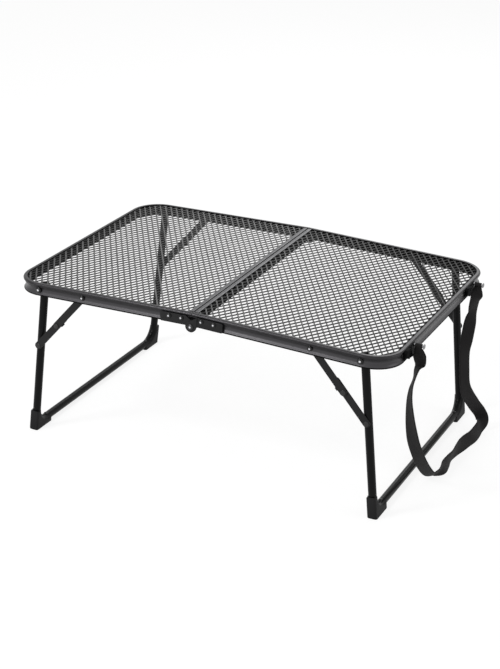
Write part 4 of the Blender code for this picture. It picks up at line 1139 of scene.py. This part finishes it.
def expanded_metal_tree():
    """Expanded metal: zigzag strands side by side that meet in short bonds, cut off under rim and bar."""
    inputs = {
        "Float": (
            "Diamond Width", "Diamond Length", "Bond Length", "Bond Lap", "Strand Width", "Strand Thickness",
            "Strand Tilt", "End", "Depth", "Corner", "Level",
        ),
        "Int": ("Strands", "Points"),
        "Material": ("Material",),
    }
    tree, graph, given = new_tree("expanded_metal", inputs)
    plus, minus, times, over = graph.plus, graph.minus, graph.times, graph.over
    pitch = over(given["Diamond Width"], 2.0)
    step = over(given["Diamond Length"], 4.0)
    swing = over(minus(pitch, given["Bond Lap"]), 2.0)
    reach = times(minus(given["Points"], 1.0), over(step, 2.0))
    ends = {"Start": graph.vector(0.0, times(reach, -1.0)), "End": graph.vector(0.0, reach)}
    line = graph.first("GeometryNodeCurvePrimitiveLine", ends)
    line = graph.first("GeometryNodeResampleCurve", {"Curve": line, "Count": given["Points"]})
    last = minus(given["End"], swing)
    places = {
        "Count": given["Strands"],
        "Start Location": graph.vector(last, 0.0, given["Level"]),
        "Offset": graph.vector(times(pitch, -1.0)),
    }
    row = graph.first("GeometryNodeMeshLine", places)
    strands = graph.first("GeometryNodeInstanceOnPoints", {"Points": row, "Instance": line})
    strands = graph.first("GeometryNodeRealizeInstances", {"Geometry": strands})

    x = graph.xyz(graph.first("GeometryNodeInputPosition"))["X"]
    number = graph.math("ROUND", over(minus(last, x), pitch))
    index = graph.add("GeometryNodeSplineParameter").outputs["Index"]
    bond = graph.math("FLOOR", over(plus(index, 0.5), 2.0))
    turns = graph.math("MODULO", plus(plus(bond, number), 0.5), 2.0)
    sign = minus(1.0, times(graph.math("FLOOR", turns), 2.0))
    second = graph.math("FLOOR", graph.math("MODULO", plus(index, 0.5), 2.0))
    closer = over(minus(step, given["Bond Length"]), 2.0)
    shift = times(closer, minus(1.0, times(second, 2.0)))
    move = graph.vector(times(sign, swing), shift)
    strands = graph.first("GeometryNodeSetPosition", {"Geometry": strands, "Offset": move})

    place = graph.xyz(graph.first("GeometryNodeInputPosition"))
    from_x = minus(place["X"], minus(given["End"], given["Corner"]))
    from_y = minus(graph.math("ABSOLUTE", place["Y"]), minus(given["Depth"], given["Corner"]))
    out_x, out_y = graph.greater(from_x, 0.0), graph.greater(from_y, 0.0)
    round_part = graph.math("SQRT", plus(times(out_x, out_x), times(out_y, out_y)))
    straight = graph.math("MINIMUM", graph.greater(from_x, from_y), 0.0)
    outside = minus(plus(round_part, straight), given["Corner"])
    near = graph.math("GREATER_THAN", outside, times(step, -2.0))
    strands = graph.first("GeometryNodeSubdivideCurve", {"Curve": strands, "Cuts": times(near, 6.0)})
    beyond = {"Geometry": strands, "Selection": graph.math("GREATER_THAN", outside, 0.00001)}
    strands = graph.first("GeometryNodeDeleteGeometry", beyond)

    strands = graph.first("GeometryNodeSetCurveNormal", {"Curve": strands}, mode="Z_UP")
    strands = graph.first("GeometryNodeSetCurveTilt", {"Curve": strands, "Tilt": given["Strand Tilt"]})
    flat = {"Width": given["Strand Width"], "Height": given["Strand Thickness"]}
    profile = graph.first("GeometryNodeCurvePrimitiveQuadrilateral", flat)
    soft = {"Curve": profile, "Radius": times(given["Strand Thickness"], 0.3)}
    profile = graph.first("GeometryNodeFilletCurve", soft)
    solid = {"Curve": strands, "Profile Curve": profile, "Fill Caps": True}
    end_tree(graph, graph.first("GeometryNodeCurveToMesh", solid), given["Material"])
    return tree


class CampTablePanels(bpy.types.Operator):
    """Lays the expanded-metal top into each half"""

    bl_idname = "camp_table.mesh_panels"
    bl_label = "Mesh Tops"

    def execute(self, context):
        sizes = context.scene.camp_table_sizes
        tree = expanded_metal_tree()
        inset = BEAD_WIDTH - MESH_LAP
        pitch = sizes.diamond_short / 2
        values = {
            "Diamond Width": sizes.diamond_short,
            "Diamond Length": sizes.diamond_long,
            "Bond Length": BOND_LENGTH,
            "Bond Lap": BOND_LAP,
            "Strand Width": sizes.strand_width,
            "Strand Thickness": sizes.strand_thickness,
            "Strands": int((LENGTH / 2 - inset - BAR_WIDTH) / pitch) + 1,
            "Points": 4 * int(DEPTH / sizes.diamond_long / 2 + 1) * 2,
            "End": LENGTH / 2 - inset,
            "Depth": DEPTH / 2 - inset,
            "Corner": CORNER_RADIUS - inset,
            "Level": HEIGHT - PANEL_DROP - PANEL_THICKNESS / 2,
            "Material": finish_of("panel_metal"),
        }
        for label, side in SIDES.items():
            sheet = new_object(f"{label}_expanded_mesh", bpy.data.meshes.new(label))
            sheet = run_tree(sheet, tree, {**values, "Strand Tilt": side * sizes.strand_tilt})
            sheet.data.transform(half_turn(side) @ Matrix.Diagonal((side, 1, 1, 1)))
            if side < 0:
                sheet.data.flip_normals()
            settle(sheet, "panel_metal", f"{label}_half", f"{label}_mesh_panel")
        return {"FINISHED"}


# Legs and boots


def leg_place(side, x_off, y, down):
    """A place on the flat half from one in a leg's own frame: across its plane, along Y, and down it."""
    lean = SPLAY + RIDGE
    x = PIVOT_X + x_off * math.cos(lean) + down * math.sin(lean)
    z = PIVOT_Z + x_off * math.sin(lean) - down * math.cos(lean)
    return Vector((side * x, y, z))


def leg_point(side, x_off, y, down):
    """The same point where it is once the half is tilted."""
    return half_turn(side) @ leg_place(side, x_off, y, down)


def leg_path():
    """The U of a leg's tube as (y, down) points, and the direction across the tube in its plane at each."""
    bend_y, bend_down = LEG_Y - BEND_RADIUS, LEG_LENGTH - BEND_RADIUS
    path = [(-LEG_Y, -TUBE_END, -1.0, 0.0), (-LEG_Y, LEG_LENGTH / 2, -1.0, 0.0)]
    for y, down in arc((0, 0), 1.0, 180, 90, BEND_STEPS):
        path.append((-bend_y + BEND_RADIUS * y, bend_down + BEND_RADIUS * down, y, down))
    path += [(-y, down, -out_y, out_down) for y, down, out_y, out_down in reversed(path)]
    return path


def leg_rings(side, radius):
    rings = []
    for y, down, out_y, out_down in leg_path():
        ring = []
        for k in range(TUBE_SIDES):
            a = 2 * math.pi * k / TUBE_SIDES
            reach, x_off = radius * math.cos(a), radius * math.sin(a)
            ring.append(leg_point(side, x_off, y + out_y * reach, down + out_down * reach))
        rings.append(ring)
    return rings


class CampTableLegs(bpy.types.Operator):
    """Bends the two U-shaped tube legs"""

    bl_idname = "camp_table.legs"
    bl_label = "Legs"

    def execute(self, context):
        for label, side in SIDES.items():
            skins = leg_rings(side, TUBE_RADIUS) + leg_rings(side, TUBE_RADIUS - TUBE_WALL)[::-1]
            tube = object_from(f"{label}_bent_tube", lambda work: sweep(work, skins, closed_path=True))
            bevel(tube, TUBE_EDGE, EDGE_STEPS, SOFT_ANGLE)
            settle(bake(tube), "leg_metal", f"{label}_leg", f"{label}_leg_frame")
        return {"FINISHED"}


class CampTableBoots(bpy.types.Operator):
    """Moulds the boots that cover the outside of the legs' lower corners"""

    bl_idname = "camp_table.boots"
    bl_label = "Boots"

    def execute(self, context):
        outer = LEG_Y + BOOT_HALF
        bottom = LEG_LENGTH + BOOT_HALF + BOOT_TRIM
        top = LEG_LENGTH + CROSSBAR_Z - BOOT_HEIGHT
        inner = LEG_Y - BOOT_LENGTH
        bend = (LEG_Y - BEND_RADIUS, LEG_LENGTH - BEND_RADIUS)
        outline = [(outer, top), *arc((outer - BOOT_CORNER, bottom - BOOT_CORNER), BOOT_CORNER, 0, 90, 8)]
        outline += [(inner, bottom), (inner, LEG_LENGTH - BOOT_LIP)]
        outline += [*arc(bend, BEND_RADIUS - BOOT_LIP, 90, 4, BEND_STEPS), (LEG_Y - BOOT_SIDE_LIP, top)]
        levels = [square(LENGTH, z) for z in (-GROUND_DEPTH, 0.0)]
        ground = object_from("ground", lambda work: sweep(work, levels))
        for label, side in SIDES.items():
            skins = leg_rings(side, TUBE_RADIUS + GAP / 2)
            channel = object_from("channel", lambda work: sweep(work, skins))
            for end, y_side in ENDS.items():
                name = f"{end}_{label}_boot"
                block = rounded_plate(f"{name}_moulding", [outline], 2 * BOOT_HALF, BOOT_EDGE, 4)
                for vert in block.data.vertices:
                    y, down, x_off = vert.co
                    vert.co = leg_point(side, x_off, y_side * y, down)
                rework(block.data, face_out)
                cut(block, channel)
                cut(block, ground)
                settle(bake(block), "boot_plastic", f"{label}_leg", name)
            remove(channel)
        remove(ground)
        return {"FINISHED"}


# Stays


def stay_places():
    """Top pivot, middle pivot and foot pivot of a stay on the right, as (x, z)."""
    top = Vector((PIVOT_X - STAY_TOP_REACH, PIVOT_Z))
    lean = SPLAY + RIDGE
    foot = Vector((PIVOT_X, PIVOT_Z)) + STAY_FOOT_REACH * Vector((math.sin(lean), -math.cos(lean)))
    span = (foot - top).length
    upper = (span + STAY_FOOT_REACH - STAY_TOP_REACH) / 2
    return top, top + (foot - top) * upper / span, foot


def link_outline(start, end, radius, side):
    """A flat link's outline, round at both ends."""
    along = math.degrees(math.atan2((end - start).y, (end - start).x))
    points = arc(end, radius, along - 90, along + 90, 14)
    points += arc(start, radius, along + 90, along + 270, 14)
    return [(side * x, z) for x, z in points]


class CampTableStays(bpy.types.Operator):
    """Punches the two flat links of each stay, the lower one with its stop lug"""

    bl_idname = "camp_table.stays"
    bl_label = "Stays"

    def execute(self, context):
        top, middle, foot = stay_places()
        radius = STAY_WIDTH / 2
        bore = RIVET_RADIUS + GAP
        along = (foot - middle).normalized()
        across = Vector((along.y, -along.x))
        lug_top = middle - along * (STAY_TAIL / 2 + STAY_LUG_LENGTH / 2)
        lug_end = lug_top + along * STAY_LUG_LENGTH
        near, far = across * (radius + GAP), across * (radius + GAP + STAY_LUG_WALL)
        root = across * (radius - STAY_LUG_WALL)
        lug_reach = UPPER_STAY_Y + STAY_THICKNESS / 2
        lug_depth = lug_reach - (LOWER_STAY_Y - STAY_THICKNESS / 2)
        for label, side in SIDES.items():

            def hole(place):
                return circle((side * place.x, place.y), bore)

            def tab(*places):
                return [[(side * place.x, place.y) for place in places]]

            for end, y_side in ENDS.items():
                name = f"{end}_{label}"
                outlines = [link_outline(top, middle, radius, side), hole(top), hole(middle)]
                upper = upright_plate(f"{name}_upper_link", outlines, STAY_THICKNESS, y_side * UPPER_STAY_Y)
                tail = middle - along * STAY_TAIL
                outlines = [link_outline(tail, foot, radius, side), hole(middle), hole(foot)]
                lower = upright_plate(f"{name}_lower_link", outlines, STAY_THICKNESS, y_side * LOWER_STAY_Y)
                outlines = tab(lug_top + near, lug_end + near, lug_end + far, lug_top + far)
                lug = upright_plate("lug", outlines, lug_depth, y_side * (lug_reach - lug_depth / 2))
                outlines = tab(lug_top + root, lug_end + root, lug_end + far, lug_top + far)
                lug_root = upright_plate("lug_root", outlines, STAY_THICKNESS, y_side * LOWER_STAY_Y)
                cut(lower, lug_root, "UNION")
                cut(lower, lug, "UNION")
                lower = bake(lower)
                remove(lug, lug_root)
                for link, part in ((upper, "upper"), (lower, "lower")):
                    link.data.transform(half_turn(side))
                    settle(link, "stay_metal", f"{name}_{part}_stay", f"{name}_{part}_stay")
        return {"FINISHED"}


# Hinges


def leaf_outline(side):
    """A hinge leaf in (x, z): a plate on the rim's face that runs into a round eye on the hinge axis."""
    top = HEIGHT - LEAF_EDGE_DROP
    bottom = HEIGHT - RIM_HEIGHT + GAP
    end = LEAF_LENGTH - LEAF_CORNER
    neck = math.sqrt(EYE_RADIUS**2 - (bottom - HINGE_Z) ** 2)
    eye = arc((0.0, HINGE_Z), EYE_RADIUS, 100, 360, 40)
    eye = [point for point in eye if point[0] < 0 or point[1] < bottom - LEAF_NECK]
    plate = [(neck, bottom), *arc((end, bottom + LEAF_CORNER), LEAF_CORNER, -90, 0, 5)]
    plate += [*arc((end, top - LEAF_CORNER), LEAF_CORNER, 0, 90, 5), (EYE_RADIUS, top)]
    return [(side * x, z) for x, z in eye + plate]


def joggle(obj, start, end, depth):
    """Steps a plate out by depth where its x is below start, with a smooth ramp to its own plane at end."""
    steps = 8

    def step_out(work):
        for i in range(steps + 1):
            place = (start + (end - start) * i / steps, 0, 0)
            geometry = [*work.verts, *work.edges, *work.faces]
            bmesh.ops.bisect_plane(work, geom=geometry, plane_co=place, plane_no=(1, 0, 0), dist=1e-7)
        for vert in work.verts:
            share = min(1.0, max(0.0, (end - vert.co.x) / (end - start)))
            vert.co.y += depth * share * share * (3 - 2 * share)

    rework(obj.data, step_out)


class CampTableHinges(bpy.types.Operator):
    """Cuts the hinge leaves, the right ones stepped out over the eyes of the left ones"""

    bl_idname = "camp_table.hinges"
    bl_label = "Hinge Leaves"

    def execute(self, context):
        inner_y = DEPTH / 2 + GAP + LEAF_THICKNESS / 2
        start = EYE_RADIUS + 2 * GAP
        for end, y_side in ENDS.items():
            for label, side in SIDES.items():
                holes = [circle((side * x, LEAF_RIVET_Z), RIVET_RADIUS + GAP) for x in LEAF_RIVETS]
                holes.append(circle((0.0, HINGE_Z), PIN_RADIUS + GAP))
                outlines = [leaf_outline(side), *holes]
                name = f"{end}_{label}_hinge_plate"
                leaf = upright_plate(name, outlines, LEAF_THICKNESS, y_side * inner_y)
                if side > 0:
                    joggle(leaf, start, start + LEAF_RAMP, y_side * (LEAF_THICKNESS + GAP))
                leaf.data.transform(half_turn(side))
                settle(leaf, "leaf_metal", f"{label}_half", f"{end}_hinge_{label}_leaf")
        return {"FINISHED"}


# Rivets, pins and bushes


def dome(radius, top, height, steps=7):
    """A domed head's profile as (radius, height) points, from its middle to its rim."""
    edge = height * 0.2
    points = []
    for i in range(steps + 1):
        a = math.pi / 2 * i / steps
        points.append((radius * math.sin(a), top + edge + (height - edge) * math.cos(a)))
    return [*points, (radius, top)]


def rivet_profile(radius, top, bottom, head, foot, collars=()):
    """A rivet's profile: domed head above top, flat head below bottom. head, foot are (radius, height)."""
    profile = [*dome(head[0], top, head[1]), (radius, top)]
    for collar_radius, upper, lower in collars:
        profile += [(radius, upper), (collar_radius, upper), (collar_radius, lower), (radius, lower)]
    profile.append((radius, bottom))
    if foot[1] > 0:
        soft = min(foot[1], foot[0]) * 0.3
        profile += [(foot[0], bottom), (foot[0], bottom - foot[1] + soft)]
        profile += [(foot[0] - soft, bottom - foot[1])]
    return [*profile, (0.0, bottom - foot[1])]


def turned_object(name, profile):
    """A turned piece standing on Z, from a profile of (radius, height) points.

    The profile starts and ends on the axis, or else is a closed ring.
    """

    def draw(work):
        rings = []
        for radius, height in profile:
            angles = [2 * math.pi * k / TURN_STEPS for k in range(TURN_STEPS)] if radius > 1e-7 else [0.0]
            points = [(radius * math.cos(a), radius * math.sin(a), height) for a in angles]
            rings.append([work.verts.new(point) for point in points])
        pairs = list(zip(rings, rings[1:]))
        if len(rings[0]) > 1:
            pairs.append((rings[-1], rings[0]))
        for first, second in pairs:
            for k in range(TURN_STEPS):
                n = (k + 1) % TURN_STEPS
                corners = ((first, k), (first, n), (second, n), (second, k))
                work.faces.new(list(dict.fromkeys(ring[i % len(ring)] for ring, i in corners)))

    piece = object_from(name, draw)
    # Marks the top middle of the piece for a painted highlight, which the rivet and pin finishes paint pale
    places = [vert.co for vert in piece.data.vertices]
    tip = max(z for x, y, z in places) - PAINTED_HIGHLIGHT_DEPTH
    mark_points(piece.data, "tip", [float(math.hypot(x, y) < PAINTED_HIGHLIGHT_RADIUS and z > tip) for x, y, z in places])
    return piece


def turned_tree():
    """Stands one turned piece on each point of a mesh, along the direction that the point carries."""
    inputs = {"Object": ("Turned Piece",), "Material": ("Material",)}
    tree, graph, given = new_tree("turned_on_points", inputs)
    piece = graph.add("GeometryNodeObjectInfo", {"Object": given["Turned Piece"]}).outputs["Geometry"]
    set_on_points(graph, given, piece, "Z")
    return tree


def add_turned(name, profile, places, side, slot, body, nodes, finish=None):
    """One piece of turned parts on the same body, stood at each (place, outward) of the flat half."""
    tree = bpy.data.node_groups.get("turned_on_points") or turned_tree()
    piece = turned_object("turned_piece", profile)
    made = run_on_points(name, tree, {"Turned Piece": piece, "Material": finish_of(slot)}, places)
    remove(piece)
    made.data.transform(half_turn(side))
    return settle(made, slot, body, *nodes, finish=finish)


class CampTableFasteners(bpy.types.Operator):
    """Sets every rivet, pin and bush"""

    bl_idname = "camp_table.fasteners"
    bl_label = "Rivets, Pins and Bushes"

    def execute(self, context):
        top, middle, foot = stay_places()
        big, small = PIN_RADIUS + HEAD_OVERHANG, RIVET_RADIUS + HEAD_OVERHANG
        pin_head, rivet_head = (big, HEAD_HEIGHT), (small, HEAD_HEIGHT)
        stay_head, thin_head = (small, STAY_HEAD_HEIGHT), (small, THIN_HEAD_HEIGHT)
        upper_out, upper_in = UPPER_STAY_Y + STAY_THICKNESS / 2, UPPER_STAY_Y - STAY_THICKNESS / 2
        lower_out, lower_in = LOWER_STAY_Y + STAY_THICKNESS / 2, LOWER_STAY_Y - STAY_THICKNESS / 2
        leaf_face = DEPTH / 2 + GAP + LEAF_THICKNESS
        eye_face = leaf_face + GAP + LEAF_THICKNESS
        leaf_rivet = rivet_profile(RIVET_RADIUS, leaf_face + GAP, RIM_FACE_Y - GAP, rivet_head, stay_head)
        hinge_pin = rivet_profile(PIN_RADIUS, eye_face + GAP, DEPTH / 2 + GAP, pin_head, (0, 0))
        leg_pin = rivet_profile(PIN_RADIUS, face_seat(big), LEG_Y - TUBE_RADIUS - GAP, pin_head, pin_head)
        bore = PIN_RADIUS + GAP
        bush = [(bore + BUSH_WALL, RIM_FACE_Y - BUSH_PLAY), (bore + BUSH_WALL, TUBE_SIDE_Y + GAP)]
        bush += [(bore, TUBE_SIDE_Y + GAP), (bore, RIM_FACE_Y - BUSH_PLAY)]
        ends, collars = (face_seat(small), upper_in - GAP), [(small, RIM_FACE_Y - GAP, upper_out + GAP)]
        top_rivet = rivet_profile(RIVET_RADIUS, *ends, rivet_head, stay_head, collars)
        ends, collars = (upper_out + GAP, lower_in - GAP), [(small, upper_in - GAP, lower_out + GAP)]
        middle_rivet = rivet_profile(RIVET_RADIUS, *ends, stay_head, thin_head, collars)
        stub = (small, lower_in - GAP - (TUBE_SIDE_Y + GAP))
        foot_rivet = rivet_profile(RIVET_RADIUS, lower_out + GAP, lower_in - GAP, thin_head, stub)
        screw = rivet_profile(SCREW_RADIUS, TUBE_RADIUS, TUBE_RADIUS - TUBE_WALL, SCREW_HEAD, (0, 0))
        links = (("upper", "middle", middle, middle_rivet), ("lower", "foot", foot, foot_rivet))
        for label, side in SIDES.items():

            def both(x, z):
                return [((side * x, 0.0, z), (0.0, y_side, 0.0)) for y_side in ENDS.values()]

            leaf = [place for x in LEAF_RIVETS for place in both(x, LEAF_RIVET_Z)]
            leaf_nodes = (f"hinge_{label}_inner_rivet", f"hinge_{label}_outer_rivet")
            pivots = both(PIVOT_X, PIVOT_Z)
            groups = (
                ("hinge_rivets", leaf_rivet, leaf, "rivet_metal", leaf_nodes),
                ("leg_pins", leg_pin, pivots, "rivet_metal", (f"{label}_leg_pin",)),
                ("leg_bushes", bush, pivots, "bush_plastic", (f"{label}_leg_bush",)),
                ("stay_top_rivets", top_rivet, both(*top), "rivet_metal", (f"{label}_stay_top_rivet",)),
            )
            for group, profile, places, slot, parts in groups:
                nodes = [f"{end}_{part}" for end in ENDS for part in parts]
                add_turned(f"{label}_{group}", profile, places, side, slot, f"{label}_half", nodes)
            for end, y_side in ENDS.items():
                for link, part, place, profile in links:
                    name = f"{end}_{label}"
                    places = [((side * place.x, 0.0, place.y), (0.0, y_side, 0.0))]
                    body, nodes = f"{name}_{link}_stay", [f"{name}_stay_{part}_rivet"]
                    name = f"{name}_{part}_rivet"
                    add_turned(name, profile, places, side, "rivet_metal", body, nodes, "dark_rivet")
            places = []
            for y_side in ENDS.values():
                low = leg_place(side, 0.0, y_side * (LEG_Y - BEND_RADIUS), LEG_LENGTH)
                high = leg_place(side, 0.0, y_side * (LEG_Y - BEND_RADIUS), LEG_LENGTH - 1.0)
                places.append((low, high - low))
            name, body = f"{label}_boot_screws", f"{label}_leg"
            add_turned(name, screw, places, side, "rivet_metal", body, [], "dark_rivet")
        places = [((0.0, 0.0, HINGE_Z), (0.0, y_side, 0.0)) for y_side in ENDS.values()]
        nodes = [f"{end}_hinge_pin" for end in ENDS]
        add_turned("hinge_pins", hinge_pin, places, 1, "rivet_metal", "right_half", nodes, "hinge_pin")
        return {"FINISHED"}


# What the strap hangs from


class CampTableStrapFittings(bpy.types.Operator):
    """Mounts the moulded anchors and the steel pegs that the strap hangs from"""

    bl_idname = "camp_table.strap_fittings"
    bl_label = "Strap Pegs and Anchors"

    def execute(self, context):
        head = (PEG_RADIUS + HEAD_OVERHANG, HEAD_HEIGHT)
        profile = rivet_profile(PEG_RADIUS, PEG_REACH, -PEG_ROOT, head, (0, 0))
        roots = [(LENGTH / 2, y_side * STRAP_Y, HEIGHT - PEG_DROP) for y_side in ENDS.values()]
        places = [(root, (1.0, 0.0, 0.0)) for root in roots]
        nodes = [f"{end}_strap_peg" for end in ENDS]
        add_turned("strap_pegs", profile, places, 1, "peg_steel", "right_half", nodes)

        def simplify(work):
            bmesh.ops.remove_doubles(work, verts=work.verts, dist=WELD)
            bmesh.ops.dissolve_limit(work, angle_limit=math.radians(1), verts=work.verts, edges=work.edges)

        for end in ENDS:
            copy = new_object(f"{end}_moulded_anchor", frame["nodes"][f"{end}_strap_anchor"].data.copy())
            rework(copy.data, simplify)
            bevel(copy, ANCHOR_EDGE, 3, 30)
            settle(bake(copy, 0.0), "anchor_plastic", "right_half", f"{end}_strap_anchor")
        return {"FINISHED"}


STEPS = (
    CampTableStage,
    CampTableStrapFittings,
    CampTableStrap,
    CampTableRims,
    CampTableBars,
    CampTablePanels,
    CampTableLegs,
    CampTableBoots,
    CampTableStays,
    CampTableHinges,
    CampTableFasteners,
)


class CampTablePanel(bpy.types.Panel):
    """Lists the steps that dress the table"""

    bl_idname = "VIEW3D_PT_camp_table"
    bl_label = "Folding Camp Table"
    bl_space_type = "VIEW_3D"
    bl_region_type = "UI"
    bl_category = "Camp Table"

    def draw(self, context):
        layout = self.layout
        for step in STEPS:
            layout.operator(step.bl_idname)
        for group in (context.scene.camp_table_sizes, context.scene.camp_table_colors):
            column = layout.column(align=True)
            for name in group.bl_rna.properties.keys():
                if name not in ("rna_type", "name"):
                    column.prop(group, name)


CLASSES = (CampTableSizes, CampTableColors, *STEPS, CampTablePanel)


def register():
    for item in CLASSES:
        bpy.utils.register_class(item)
    bpy.types.Scene.camp_table_sizes = PointerProperty(type=CampTableSizes)
    bpy.types.Scene.camp_table_colors = PointerProperty(type=CampTableColors)


def unregister():
    del bpy.types.Scene.camp_table_sizes
    del bpy.types.Scene.camp_table_colors
    for item in reversed(CLASSES):
        bpy.utils.unregister_class(item)


def main():
    register()
    for step in STEPS:
        group, name = step.bl_idname.split(".")
        getattr(getattr(bpy.ops, group), name)()


if __name__ == "__main__":
    main()
